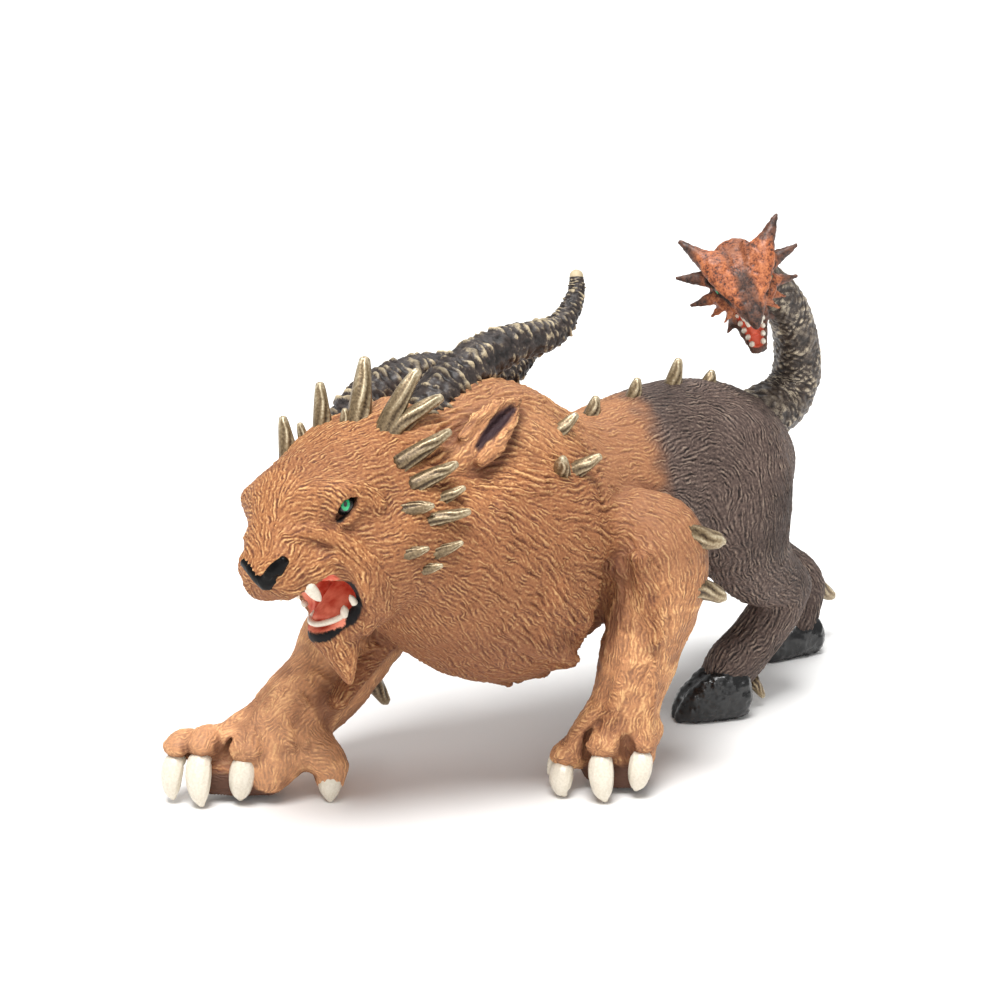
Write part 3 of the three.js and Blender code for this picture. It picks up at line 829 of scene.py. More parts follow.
DEWCLAW = limb((16.6, -2, 8.8, 1.1), (15.9, -3.6, 7, 1.1), (15.6, -4.3, 5.1, 0.8), (15.5, -4.6, 3.8, 0.4),
               fineness=8)
RIGHT_FORELEG = limb(
    (-14, -6, 58, 10, 15), (-19, -11, 46, 11, 13.5), (-23, -18, 37, 10.5, 12), (-25, -25, 28.5, 10, 11),
    (-25.4, -31.5, 20.5, 9.2, 9.4), (-25, -39.5, 16.5, 9, 8.8), (-24.2, -46, 12, 9, 8.4),
    (-24, -50.4, 8.4, 8.8, 7.4), (-24.2, -52.2, 5.6, 8, 5.4), blend=3.5)
RIGHT_TOES = (
    Toe((-33.6, -67, 9.8), (-33.1, -67.8, 0.6), (0.08, -0.99), 2.5, 3.4),
    Toe((-29, -64, 10.6), (-26.5, -65.3, 0.4), (0.3, -0.95), 2.8, 3.8),
    Toe((-21.9, -57.4, 10), (-22.9, -57.8, 0.8), (0.45, -0.89), 2.75, 4.4, 1.5),
)
THUMB = limb((-22, -45, 10.5, 5.4), (-17, -43, 10.6, 4.8), (-13.2, -41.4, 7.4, 4), (-12.4, -42, 4.6, 3.2),
             across=(0, 1, 0), blend=2.5)
THUMB_CLAW = limb((-12, -42, 5.6, 2.3), (-11.4, -42.8, 3.4, 2.4), (-11, -43.1, 1.6, 1.6),
                  (-10.8, -43.2, 0.5, 0.6), fineness=8)
LEFT_HIND = limb(
    (9, 56, 63, 10, 11), (12.5, 54, 54, 10.6, 14), (14, 54.5, 44.5, 9.6, 12.5), (13.6, 60, 35.5, 7.6, 9.2),
    (12.4, 69.5, 28, 6, 6.6), (11.8, 68.8, 22, 5.2, 6.6), (10.8, 62.4, 15.4, 5.2, 6.2),
    (9.8, 57, 11, 5.6, 6.2), (9.2, 54.4, 8.4, 5.4, 4.4), blend=4.5)
LEFT_HOCK = limb((12.4, 70, 28, 5), (12.4, 74, 27, 4), (12.4, 77, 26, 2), blend=2.5)
RIGHT_HIND = limb(
    (-9, 62, 58, 10, 12), (-12, 68.6, 47, 10, 12.4), (-12, 78, 34, 8, 8.8), (-10, 88.6, 24, 6.4, 6.8),
    (-8, 98.8, 16.4, 5.4, 5.6), (-7, 98, 10.5, 4.8, 4.8), (-6, 95, 7, 5, 4.8), blend=4.5)

SKULL = limb(
    (0, 2.5, -1, 6.3, 4.8), (0, 5.6, 1, 7.8, 7.1), (0, 11, 3.4, 8.8, 10), (0, 17, 5.6, 12, 12.6),
    (0, 24, 5.6, 15.4, 13.3), (0, 32, 4.4, 18.2, 14.2), (0, 42, 2.4, 19.6, 14.8), (0, 52, 0, 18, 14),
    frame=HEAD, blend=5.0)
JAW = limb((0, 11.6, -16.2, 2.8, 2.2), (0, 14.4, -16.4, 7, 3.2), (0.6, 19.4, -14.6, 11.8, 6.3),
           (0, 27, -10, 15, 10), (0, 37, -8, 17, 12), frame=HEAD, blend=3.0)
FACE = [
    *pair(
        limb((4.2, 3.4, -2.4, 3.2, 3.4), (6, 8, -1.8, 4, 4.4), (8, 15, -1, 3.8, 4.6), frame=HEAD, blend=3.0),
        limb((4.2, 12.8, 11, 3, 3.2), (8.4, 16, 10.4, 4.2, 4), (10, 22.5, 7.4, 5, 5.2), frame=HEAD,
             blend=4.0),
        limb((9.6, 16.5, -1.4, 4, 4.6), (13, 22.5, -1.8, 4.6, 5.8), (14.2, 31, -1.6, 5.4, 7.4), frame=HEAD,
             blend=4.0)),
    limb((11, 16.4, -9.8, 3.6, 5.4), (13.8, 23.4, -8, 5.4, 8.2), (14.6, 34, -5, 6.4, 10), frame=HEAD,
         blend=3.5),
    limb((-8.8, 20.4, -9.8, 2.8, 4.8), (-12.8, 24.4, -8, 5.2, 8), (-14.6, 34, -5, 6.4, 10), frame=HEAD,
         blend=3.5),
]
NOSE = limb((-5, 2.4, 2.4, 2.2), (0, 1.5, 1.6, 2.6, 2.9), (5, 2.4, 2.4, 2.2), across=(0, 0, 1), frame=HEAD,
            blend=1.6)
BEARD = limb((0, 12.4, -17.4, 4.6, 3.6), (0, 13.6, -22, 3.9, 3.5), (0, 13.2, -26.5, 2, 1.9),
             (0, 12.8, -29, 0.7, 0.7), frame=HEAD, blend=3.0)
FOLDS = [
    *pair(
        limb((8, 13.2, 11.6, 1.2), (10.8, 14.2, 12, 1.9), (13.3, 17, 11.1, 2.2), (14.6, 20, 9.1, 2.2),
             (15.4, 22, 5.8, 1.7), frame=HEAD, blend=1.2),
        limb((5.4, 5.4, 6.8, 1.2), (8.6, 9.8, 5.5, 1.9), (11.8, 13.2, 1.6, 2.2), (14, 15.8, -3.8, 2.2),
             frame=HEAD, blend=0.9),
        limb((3.6, 6, 9, 0.9), (6.4, 10, 8.4, 1.2), (9.4, 13, 5.2, 1.1), frame=HEAD, blend=0.8)),
    limb((14, 15.8, -3.8, 2.2), (14.3, 16.2, -10.3, 2), (11.6, 18, -16, 1.5), frame=HEAD, blend=0.9),
    limb((-13.4, 16.8, -3.8, 2), (-11, 20.4, -10.3, 1.8), (-9.4, 21, -16, 1.4), frame=HEAD, blend=0.9),
    limb((7.8, 5.6, -0.6, 1), (9.8, 9.2, 0, 1.4), (11, 11.5, -1, 1.5), (12.2, 13.6, -4.2, 1.5),
         (12.6, 14.4, -9.6, 1.5), (10.8, 15.6, -15, 1.4), (7.2, 15.4, -19, 1.1), frame=HEAD, blend=0.8),
    limb((-7.8, 5.6, -0.6, 1), (-9.8, 9.2, 0, 1.4), (-11, 11.5, -1, 1.4), (-11.6, 14.2, -4.2, 1.4),
         (-8.8, 19.2, -9.6, 1.2), (-7.2, 19, -14.6, 1.2), (-5.6, 16.8, -18.4, 1), frame=HEAD, blend=0.8),
]
TENDONS = (
    limb((27, 1, 15, 1.2), (27, 2.6, 19.2, 1.3), (27.8, 3.6, 24.6, 1.4), (28.6, 5, 30, 1.2), blend=1.2),
    limb((32, 8, 13.8, 1.2), (32, 8.6, 19.5, 1.3), (32.4, 9, 25.6, 1.4), (32.2, 8.8, 31, 1.2), blend=1.2),
    limb((19.8, -1.6, 12.4, 1.1), (22.8, 1.6, 17.4, 1.3), (26.8, 2.4, 20.2, 1.2), blend=1.2),
    limb((30, 7.4, 52.9, 1.8), (31.5, 8.8, 44.1, 2.3), (32.6, 9.5, 35.3, 1.8), blend=2.2),
    limb((-22.7, -54.8, 14, 1.3), (-24, -50.4, 18.2, 1.6), (-23.5, -45.8, 21.6, 1.4), blend=1.2),
    limb((-16.2, -49.6, 12.4, 1.3), (-18.7, -48.5, 17, 1.5), (-19, -44, 20.4, 1.4), blend=1.2),
    limb((-29.2, -58, 14.6, 1), (-28.6, -53, 16.6, 1.3), (-27.2, -47, 19.8, 1.2), blend=1.2),
    limb((-14, -38, 20.4, 2), (-15.6, -30, 26, 2.6), (-14, -22, 33, 2.4), blend=3),
)
EAR = limb((19.6, 42.6, 6, 2.2, 1.6), (21.4, 47, 7.2, 3.8, 2), (22.8, 52, 8.8, 3.8, 1.9),
           (23.4, 57, 10.2, 2.4, 1.4), (23.8, 62, 11, 0.7, 0.6), across=(-0.4, 0, 0.9), frame=HEAD, blend=1.4)
EAR_RIMS = (
    limb((21.2, 45, 10, 1.1), (22, 49, 11.6, 1.3), (22.9, 53, 12.4, 1.2), (23.6, 57, 12.4, 1),
         (24.2, 61.5, 11.2, 0.6), frame=HEAD, blend=0.8),
    limb((23.6, 45.4, 4.6, 1.4), (24.2, 48.4, 5.4, 1.8), (24.9, 52, 6.8, 1.6), (25.1, 55.5, 8.4, 1.3),
         (24.8, 59, 9.8, 0.8), frame=HEAD, blend=0.8),
)
EAR_SLIT = limb((23.8, 46, 7.4, 0.6, 1.2), (24.8, 49.5, 9, 1.15, 1.6), (25.2, 53.5, 10.2, 1.25, 1.6),
                (25.2, 58.4, 11, 0.5, 1.2), across=(-0.4, 0, 0.9), frame=HEAD, blend=0.5)
# The mouth from the side: the edge of the red inside, and the outer edge of the dark lip.
GAPE = Profile(((-4, -5.6), (0.6, -5.2), (3.9, -4.4), (6.2, -3.9), (8.5, -3.4), (10.3, -4.0), (11.6, -5.8),
                (12.2, -8.5), (12.4, -11.2), (12, -13.2), (10.8, -14.2), (8, -14.6), (5, -14.4), (-4, -14.4)),
               HEAD, 17, 1.4)
LIP = Profile(((-4, -5), (0.6, -4.6), (3.9, -3.9), (6.2, -3.3), (8.5, -2.8), (10.3, -3.4), (12.4, -4.4),
               (14.6, -6), (15.4, -9), (15.6, -12), (15, -14.6), (13.4, -16.2), (11.4, -16.6), (9.8, -16.7),
               (8, -16.7), (5, -16.5), (-4, -16.5)), HEAD, 17, 1.4)
LIP_EDGE = ((-17, 6.6), (-16.6, 7), (-14.7, 8.5), (-12.6, 9.8), (-9.9, 10.7), (-8, 11.2), (-6, 10.4))
MOUTH_CENTRE = vec(0, 8, -11)
THROAT = limb((0, 8, -10.4, 7.6, 4.6), (0, 16, -10.4, 7.4, 4), (0, 21, -9.8, 5, 2.4), frame=HEAD, blend=1.2)
FAR_CORNER = limb((-8.8, 13.8, -8.4, 3), (-9.4, 14.6, -11.6, 4), (-9.6, 13.8, -14.6, 3), frame=HEAD,
                  blend=1.2)
TONGUE = limb((0, 12, -14.2, 3.2, 1.2), (0, 15, -13.2, 4, 1.5), (0, 21, -11.4, 4.4, 2), frame=HEAD, blend=1.2)
EYE_CENTRE = vec(11.6, 17.2, 8.2)
SOCKET = limb((12, 13.7, 6, 0.65, 1), (13, 15.2, 7.9, 1.4, 1.4), (13.8, 16.5, 9, 1.3, 1.4),
              (14.5, 18, 9.7, 0.55, 1), across=(0, 0, 1), frame=HEAD, blend=0.6)
LIDS = [
    limb((12, 13.2, 8.6, 0.7), (13.3, 14.9, 10.8, 1.1), (14.7, 17.3, 11.2, 1.2), (15.3, 19.4, 10.1, 0.8),
         frame=HEAD, blend=0.9),
    limb((12, 13.5, 5.4, 0.7), (13.1, 15.7, 5.5, 0.9), (14.3, 17.9, 7, 0.9), (15, 19.4, 8.8, 0.7), frame=HEAD,
         blend=0.9),
]


# The hide

@dataclass(frozen=True)
class Spots:
    """Places on the hide in the part's frame, in mm, with their coordinates in the beast's and the head's."""

    points: Vec

    @property
    def beast(self) -> Vec:
        """Rows of x, y and z in the beast's frame: from its middle plane, from the chest back, and up."""
        return (self.points + FOOTPRINT_CENTRE).T

    @property
    def head(self) -> Vec:
        """Rows of x, y and z in the head's frame: from its middle plane, from the nose back, and up."""
        return HEAD.back(self.points).T

    def near(self, chains: Iterable[Chain], centre: Vec, reach: float, step: float) -> Vec:
        """The distance to some chains that lie within `reach` of a centre."""
        return distance_to(self.points, chains, centre, reach, step)

    def noise(self, *layers: tuple[float, float, int]) -> Vec:
        """Clouds added up, each layer given as its weight, its size in mm and its seed."""
        return sum(weight * cloud(self.points, size, seed) for weight, size, seed in layers)


@dataclass
class Hide:
    """The furred body, modelled as one mass, combed, and parted out of sight into pieces under the fur."""

    pitch: float = 0.45
    head_cut: float = 38.0      # behind the cheeks, in the head's frame
    beard_cut: float = -31.0    # below the beard
    waist_cut: float = 29.0     # y between the foreleg and the thigh
    elbow_cut: float = 25.0     # z below which a foreleg is clear of the chest
    goat_start: float = 26.0    # y where the goat's coat takes over
    mane_spacing: float = 1.45
    fine_spacing: float = 1.1
    mane_height: float = 0.34
    coat_height: float = 0.17
    lock_height: float = 0.22
    margin: float = 3.5         # empty space round the part's box
    furred_share: float = 0.9   # of the part's height: only the horns and the serpent reach higher
    sole: float = 0.35          # the hide is trimmed flat here, so that its relief stays off the ground

    def block(self, pitch: float) -> Clay:
        """Empty clay over the part's box, up to where only the horns and the serpent reach."""
        low, high = (np.array(corner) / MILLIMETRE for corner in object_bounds())
        return Clay(low - self.margin, high * vec(1, 1, self.furred_share) + self.margin, pitch)

    def legs(self) -> list[Chain]:
        """The forelegs with their knuckles and toes."""
        fingers = [toe.finger() for toe in LEFT_TOES + RIGHT_TOES]
        return [LEFT_FORELEG, RIGHT_FORELEG, *KNUCKLES, THUMB, *fingers]

    def uncut(self, clay: Clay) -> Clay:
        """The whole beast, with its mouth shut and its eyes blind."""
        clay.add(*TORSO, *LOCKS).cut(ARMPIT)
        clay.add(SKULL, *FACE, JAW, BEARD, NOSE, *FOLDS, *pair(EAR))
        clay.add(*pair(*EAR_RIMS))
        clay.add(*self.legs(), *TENDONS).cut(*GROOVES).add(*PADS)
        return clay.add(LEFT_HIND, RIGHT_HIND, LEFT_HOCK)

    def opened(self, clay: Clay) -> Clay:
        """Cuts the mouth, eye sockets and ears, and adds the lids and the tongue."""
        clay.cut(*pair(SOCKET), *pair(EAR_SLIT))
        clay.add(*pair(*LIDS))
        middle = HEAD.out(vec(0, 6, -10))
        clay.carve(GAPE, middle - 22, middle + 22).cut(THROAT, FAR_CORNER)
        return clay.add(TONGUE).floor(self.sole)

    def comb(self, skin: Skin, clay: Clay, whole: Clay, rough: Clay) -> Skin:
        """Paints the masks on the surface and raises the fur along the body's own lines.

        Args:
            skin: the bare surface.
            clay: the beast with its mouth open.
            whole: the beast with its mouth shut.
            rough: the same on a coarser grid, with the way that its masses run.

        Returns:
            The furred surface, painted.
        """
        at = Spots(skin.points)
        normals = normals_of(skin.points, skin.faces)
        red, lip = self.mouth(at, -whole.sample(at.points))
        rim, ear = self.eyes_and_ears(at)
        goat, leg = self.coats(at, clay)
        bare = np.maximum.reduce([red, lip, rim])
        along, across = self.fur_lines(at, normals, rough.sample(at.points, rough.flow))
        swell, ridge, lock = self.relief(at, along, across, goat, leg)
        # painted light: the right foreleg lies in the head's shade and is painted lighter; the hump and flank
        # get painted light too
        right_leg_painted_light = np.where(at.beast[0] < 0, 1.6, 1)
        # the leg paint carries the forelegs' paler skin and the painted light; the wash paint carries the
        # brown wash and painted shade
        skin.paint = {"ridge": ridge * (1 - bare), "goat": goat, "red": red, "black": np.maximum(lip, rim),
                      "wash_and_shade": self.washes_and_shade(at, normals, clay, goat, leg), "ear": ear, "pad": self.soles(at),
                      "across": across, "lock": lock,
                      "leg": np.maximum(leg * right_leg_painted_light, self.painted_light(at) * (1 - goat))}
        return skin.swell(swell * (1 - bare))

    def fur_lines(self, at: Spots, normals: Vec, run: Vec) -> tuple[Vec, Vec]:
        """The way the fur lies: the masses' run, drooping and swayed by noise. Then the way across it."""
        _, y, z = at.beast
        low_mane = smoothstep(62, 38, z) * smoothstep(8, 0, y) * smoothstep(34, 44, at.head[1])
        run = run - np.where(z > 20, 0.35 + 0.7 * low_mane, 0.0)[:, None] * UP
        run = unit(run - normals * np.sum(run * normals, axis=1)[:, None])
        side = unit(np.cross(normals, run))
        sway = at.noise((0.5, 11.0, 3), (0.5, 3.6, 4), (0.2, 1.9, 5))
        along = unit(run * np.cos(sway)[:, None] + side * np.sin(sway)[:, None])
        return along, unit(np.cross(normals, along))

    def mouth(self, at: Spots, depth: Vec) -> tuple[Vec, Vec]:
        """Where the flesh is red, inside the gape or low on the gum, and where the lip round it is black."""
        x, y, z = at.head
        x = np.abs(x)
        near = np.linalg.norm(at.head.T - MOUTH_CENTRE, axis=1) < 24
        cavity = at.near((THROAT, TONGUE, FAR_CORNER), HEAD.out(MOUTH_CENTRE), 26, 0.8)
        cavity[near] = np.minimum(cavity[near], GAPE.distance(at.points[near]))
        within = np.full(len(x), Clay.REACH)
        within[near] = LIP.distance(at.points[near])
        edge_z, edge_x = np.array(LIP_EDGE).T
        within = np.maximum(within, x - np.interp(z, edge_z, edge_x))
        sunken = smoothstep(9.5, 8.5, x) * smoothstep(7, 9, y)
        flesh = np.maximum(smoothstep(0.5, 0.9, depth), sunken) * smoothstep(0.4, 0.1, cavity)
        gum = smoothstep(0.1, -0.2, within) * (x < 5.6) * (y < 13) * (z > -16) * (z < -13.2)
        red = np.maximum(flesh, gum)
        return red, smoothstep(0.15, -0.15, within) * (1 - red) * smoothstep(-6.2, -7, z)

    def eyes_and_ears(self, at: Spots) -> tuple[Vec, Vec]:
        """Where the black rims of the eyes and the dark slits of the ears are."""
        centres = (EYE_CENTRE * vec(side, 1, 1) for side in (-1, 1))
        eye = np.minimum(*(np.linalg.norm(at.head.T - centre, axis=1) for centre in centres))
        socket = at.near(pair(SOCKET), HEAD.out(vec(0, 15, 7)), 22, 0.6)
        slit = at.near(pair(EAR_SLIT), HEAD.out(vec(0, 50, 8)), 34, 0.9)
        return smoothstep(0.1, -0.15, socket) * (eye < 6), smoothstep(0.6, 0.0, slit) * (at.head[1] > 40)

    def soles(self, at: Spots) -> Vec:
        """Where the dark pads of the forepaws are."""
        near = np.minimum(*(at.near([pad], pad.sections(5)[0].mean(axis=0), 14, 0.9) for pad in PADS))
        return smoothstep(0.9, 0.3, near) * smoothstep(8, 6.4, at.beast[2])

    def coats(self, at: Spots, clay: Clay) -> tuple[Vec, Vec]:
        """Where the goat's coat takes over, along a wandering edge, and where the forelegs' skin shows."""
        x, y, z = at.beast
        on_back = smoothstep(60, 74, z) * smoothstep(14, 4, np.abs(x))
        goat = smoothstep(-4.5, 5, y - 3 * on_back - self.goat_start + at.noise((5, 14.0, 8), (2.2, 3.0, 9)))
        high = clay.low + clay.step * np.array(clay.shape) * vec(1, 1, 0.6)
        legs = Clay(clay.low, high, 0.8).add(*self.legs())
        return goat, smoothstep(2.2, 0.4, legs.sample(at.points)) * smoothstep(54, 40, z) * (1 - goat)

    def washes_and_shade(self, at: Spots, normals: Vec, clay: Clay, goat: Vec, leg: Vec) -> Vec:
        """The folds' brown wash with painted shade, and painted shade facing down, under the chest and on the
        jowls.

        A fold is found by the clay's distance at a point pushed out along the normal by `reach`.
        """
        _, y, z = at.beast
        _, back, up = at.head
        reach = 2.6
        # folds: the paint's brown wash there, deepened by painted shade
        fold = np.clip((reach - clay.sample(at.points + normals * reach)) / 1.1, 0, 1)
        # painted shade: darker on what faces down, under the chest and on the jowls, where the light from
        # above falls short
        facing_down = smoothstep(0.15, -0.75, normals[:, 2]) * (z > 8)
        under = smoothstep(62, 36, z) * (1 - leg) * (1 - goat) * smoothstep(20, 30, back)
        under = under * smoothstep(14, 0, y)
        jowl = smoothstep(3, -7, up) * smoothstep(11, 15, back) * (1 - leg)
        return np.maximum.reduce([fold, 0.85 * facing_down, 0.9 * under, 0.72 * jowl])

    def painted_light(self, at: Spots) -> Vec:
        """Painted light: where the lion's coat is made lighter, on the hump behind the head and on the flank.
        """
        _, y, z = at.beast
        hump = 0.9 * smoothstep(70, 82, z) * smoothstep(36, 44, at.head[1])
        return np.maximum(hump, smoothstep(2, 14, y) * smoothstep(36, 52, z))

    def relief(self, at: Spots, along: Vec, across: Vec, goat: Vec, leg: Vec) -> tuple[Vec, Vec, Vec]:
        """The fur's height in mm, its ridges from -1 to 1 and the broad locks under them.

        Coarse strands on the mane give way to fine ones, and on the forelegs to veins, which lie where a
        smooth noise passes through zero.
        """
        _, y, z = at.beast
        mane = smoothstep(24, 40, at.head[1]) * smoothstep(22, 34, z) * smoothstep(30, 8, y)
        broad_vein = np.clip(0.9 - 4.5 * np.abs(at.noise((1, 5.5, 41))), -0.5, 1)
        fine_vein = np.clip(0.7 - 4 * np.abs(at.noise((1, 2.3, 43))), -0.4, 1)
        coarse = strands(at.points, along, across, self.mane_spacing, 3.5, 11)
        fine = strands(at.points, along, across, self.fine_spacing, 2.7, 23)
        lock = cloud(at.points + 2.2 * coarse[:, None] * across, 4.2, 31)
        share = np.clip(0.25 + 0.75 * mane, 0, 1) * (1 - 0.5 * goat)
        ridge = share * coarse + (1 - share) * fine
        ridge = (1 - 0.45 * leg) * ridge + leg * (0.6 * (broad_vein + fine_vein) + 0.15)
        height = self.mane_height * share + self.coat_height * (1 - share)
        return ridge * height + self.lock_height * lock * (0.4 + mane), ridge, lock

    def part(self, skin: Skin) -> dict[str, Skin]:
        """Sorts the faces into pieces and closes each piece inside the body.

        Neighbouring pieces share their border's points exactly. A piece is closed by a fan from its border to
        a point inside it, and keeps the whole surface's normals, so that no seam shows.
        """
        normals = normals_of(skin.points, skin.faces)
        middle = Spots(skin.points[skin.faces].mean(axis=1))
        x, y, z = middle.beast
        _, back, up = middle.head
        label = np.zeros(len(x), int)
        label[(back < self.head_cut) & (up > self.beard_cut) & (y < 0) & ((z > 42) | (np.abs(x - 3) < 9))] = 1
        label[y > self.waist_cut] = 2
        low = (z < self.elbow_cut) & (label == 0)
        label[low & (x > 13)] = 3
        label[low & (x < -12)] = 4
        names = ("chest_and_shoulders", "lion_head", "goat_quarters", "left_foreleg", "right_foreleg")
        parts = {}
        for k, name in enumerate(names):
            faces = skin.faces[label == k]
            used, faces = np.unique(faces, return_inverse=True)
            faces = faces.reshape(-1, 4)
            piece = Skin(skin.points[used], faces, {key: v[used] for key, v in skin.paint.items()})
            piece.paint["normal"] = normals[used]
            parts[name] = close_holes(piece)
        return parts


def close_holes(skin: Skin) -> Skin:
    """Closes each open border with a fan to a point a little inside the piece."""
    f = skin.faces
    edges = np.concatenate([np.stack([f[:, k], f[:, (k + 1) % 4]], 1) for k in range(4)]).astype(np.int64)
    n = len(skin.points)
    code, reverse = edges[:, 0] * n + edges[:, 1], edges[:, 1] * n + edges[:, 0]
    open_edges = edges[~np.isin(code, reverse)]
    after: dict[int, list[int]] = {}
    for a, b in open_edges:
        after.setdefault(int(a), []).append(int(b))
    points, faces = [skin.points], [f]
    paint = {key: [v] for key, v in skin.paint.items()}
    heart = skin.points.mean(axis=0)
    count = n
    while after:
        start = next(iter(after))
        loop = [start]
        here = after[start].pop()
        if not after[start]:
            del after[start]
        while here != start:
            loop.append(here)
            following = after[here].pop()
            if not after[here]:
                del after[here]
            here = following
        ring = np.array(loop)
        centre = skin.points[ring].mean(axis=0)
        centre = centre + unit(heart - centre) * min(1.5, 0.1 * np.ptp(skin.points[ring], axis=0).max())
        points.append(centre[None])
        for key, v in skin.paint.items():
            paint[key].append(v[ring[:1]])
        top = np.full(len(ring), count)
        faces.append(np.stack([np.roll(ring, -1), ring, top, top], 1))
        count += 1
    return Skin(np.concatenate(points), np.concatenate(faces),
                {k: np.concatenate(v) for k, v in paint.items()})


# What each finish is made of

@dataclass(frozen=True)
class CoatPaint:
    """Vinyl painted by hand: a brown wash in the grooves, and light dry-brushed ridges."""

    lion_groove: str = "#734329"
    lion_middle: str = "#B77B4E"
    lion_ridge: str = "#F4C184"
    # the brown of the wash, also used as painted shade
    lion_wash_and_shade: str = "#683F2E"
    # the forelegs' paler skin, also used as painted light on the hump, flank and right foreleg
    lion_pale_and_painted_light: str = "#E4AE84"
    goat_groove: str = "#211A18"
    goat_middle: str = "#63524B"
    goat_ridge: str = "#A39080"
    ear: str = "#3C2A2E"
    pad: str = "#5A3D30"
    mouth_deep: str = "#C84A34"
    mouth_near: str = "#F2957A"
    black: str = "#0C0A0C"
    fine_mm: float = 0.85

    def colour(self, tree: Tree) -> Socket:
        """Grooves to ridges by the carved height, patchy as brushed paint, then the goat and the mouth."""
        ridge = calc(tree, "ADD", calc(tree, "MULTIPLY", painted(tree, "ridge"), 0.6),
                     ramp(tree, grain(tree, 0.6), 0.3, 0.7, -0.3, 0.3))
        height = calc(tree, "MULTIPLY_ADD", self.hairs(tree), 0.6, ridge)
        patch = ramp(tree, grain(tree, 9, 2), 0.35, 0.65)
        patch = calc(tree, "MAXIMUM", patch, calc(tree, "MULTIPLY", painted(tree, "leg"), 0.2))
        low = blend_colour(tree, patch, self.lion_groove, self.lion_wash_and_shade)
        body = blend_colour(tree, ramp(tree, height, -0.6, 0.05), low, self.lion_middle)
        lion = blend_colour(tree, ramp(tree, height, 0.12, 0.75), body, self.lion_ridge)
        # paler forelegs, and painted light on the hump, flank and right foreleg
        lion = blend_colour(tree, calc(tree, "MULTIPLY", painted(tree, "leg"), 0.28), lion, self.lion_pale_and_painted_light)
        broad = ramp(tree, grain(tree, 24, 1), 0.4, 0.62, 0, 0.18)
        # painted shade in folds, on what faces down and under the chest, with random brown patches of the
        # paint
        dark_wash_and_shade = calc(tree, "MAXIMUM", ramp(tree, painted(tree, "wash_and_shade"), 0.2, 1.0, 0, 0.75), broad)
        dark_wash_and_shade = calc(tree, "MAXIMUM", dark_wash_and_shade, ramp(tree, painted(tree, "lock"), -0.15, -0.7, 0, 0.5))
        lion = blend_colour(tree, dark_wash_and_shade, lion, self.lion_wash_and_shade)
        lion = blend_colour(tree, painted(tree, "pad"), lion, self.pad)
        goat = blend_colour(tree, ramp(tree, height, -0.7, 0.15), self.goat_groove, self.goat_middle)
        goat = blend_colour(tree, ramp(tree, height, 0.15, 1.1), goat, self.goat_ridge)
        goat = blend_colour(tree, ramp(tree, grain(tree, 16, 2), 0.45, 0.7, 0, 0.5), goat, self.goat_groove)
        coat = blend_colour(tree, painted(tree, "goat"), lion, goat)
        coat = blend_colour(tree, painted(tree, "ear"), coat, self.ear)
        flesh = blend_colour(tree, ramp(tree, grain(tree, 3), 0.35, 0.65), self.mouth_deep, self.mouth_near)
        coat = blend_colour(tree, painted(tree, "red"), coat, flesh)
        return blend_colour(tree, painted(tree, "black"), coat, self.black)

    def hairs(self, tree: Tree) -> Socket:
        """Fine combed lines from -1 to 1, spaced fine_mm apart across the fur's run."""
        place = node(tree, "TexCoord").outputs["Object"]
        wide = 1 / (2.4 * MILLIMETRE)
        noise = node(tree, "TexNoise", {"Vector": place, "Scale": wide, "Detail": 2.0}).outputs[1]
        shift = node(tree, "VectorMath", {0: noise, 1: (0.5, 0.5, 0.5)}, operation="SUBTRACT").outputs[0]
        bent = node(tree, "VectorMath", {0: shift, 1: (2.2 * MILLIMETRE,) * 3, 2: place},
                    operation="MULTIPLY_ADD")
        across = node(tree, "Attribute", attribute_name="across").outputs["Vector"]
        waves = 2.5
        links = {"Vector": bent.outputs[0], "Scale": 1 / (waves * self.fine_mm * MILLIMETRE),
                 "Frequency": waves, "Anisotropy": 1.0, "Orientation": across}
        made = node(tree, "TexGabor", links, gabor_type="3D")
        return ramp(tree, made.outputs["Value"], 0.25, 0.75, -1, 1)

    def height(self, tree: Tree) -> Socket:
        """The fine combed lines, absent from the mouth and the lips."""
        bare = calc(tree, "MAXIMUM", painted(tree, "red"), painted(tree, "black"))
        furred = calc(tree, "SUBTRACT", 1.0, bare)
        return calc(tree, "MULTIPLY", calc(tree, "MULTIPLY_ADD", self.hairs(tree), 0.5, 0.5), furred)

    def material(self) -> bpy.types.Material:
        """Satin acrylic over moulded vinyl."""
        return shader("hand_painted_vinyl_fur", self.colour, self.height, 0.13, 0.64, 0.08, specular=0.25)


def show(name: str, skin: Skin, material: bpy.types.Material, slot: str,
         stands_for: Sequence[str] = ()) -> None:
    """Makes a piece of a surface, dresses it and lets it ride on the one body.

    Args:
        name: the piece's name.
        skin: its surface, whose paint becomes attributes, apart from `normal`, which shades it.
        material: its finish.
        slot: the name of its slot in the part's list of materials, which is only logged.
        stands_for: the solids that it replaces.
    """
    normals = skin.paint.pop("normal", None)
    made = make_mesh(name, skin.points, skin.faces, skin.paint)
    if normals is not None:
        made.data.normals_split_custom_set_from_vertices(normals.tolist())
    made.data.materials.append(material)
    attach(made, "root")
    if stands_for:
        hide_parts(*stands_for)
    log.info("%s: %d points, slot %s", made.name, len(made.data.vertices), slot)


# Small castings and painted parts

class Side(Enum):
    """Which side of the middle plane: the number multiplies x."""

    LEFT = 1
    RIGHT = -1


def on_side(points: Sequence[float], side: Side) -> tuple[float, ...]:
    """A left-hand place, or its mirror image."""
    return (side.value * points[0], *points[1:])


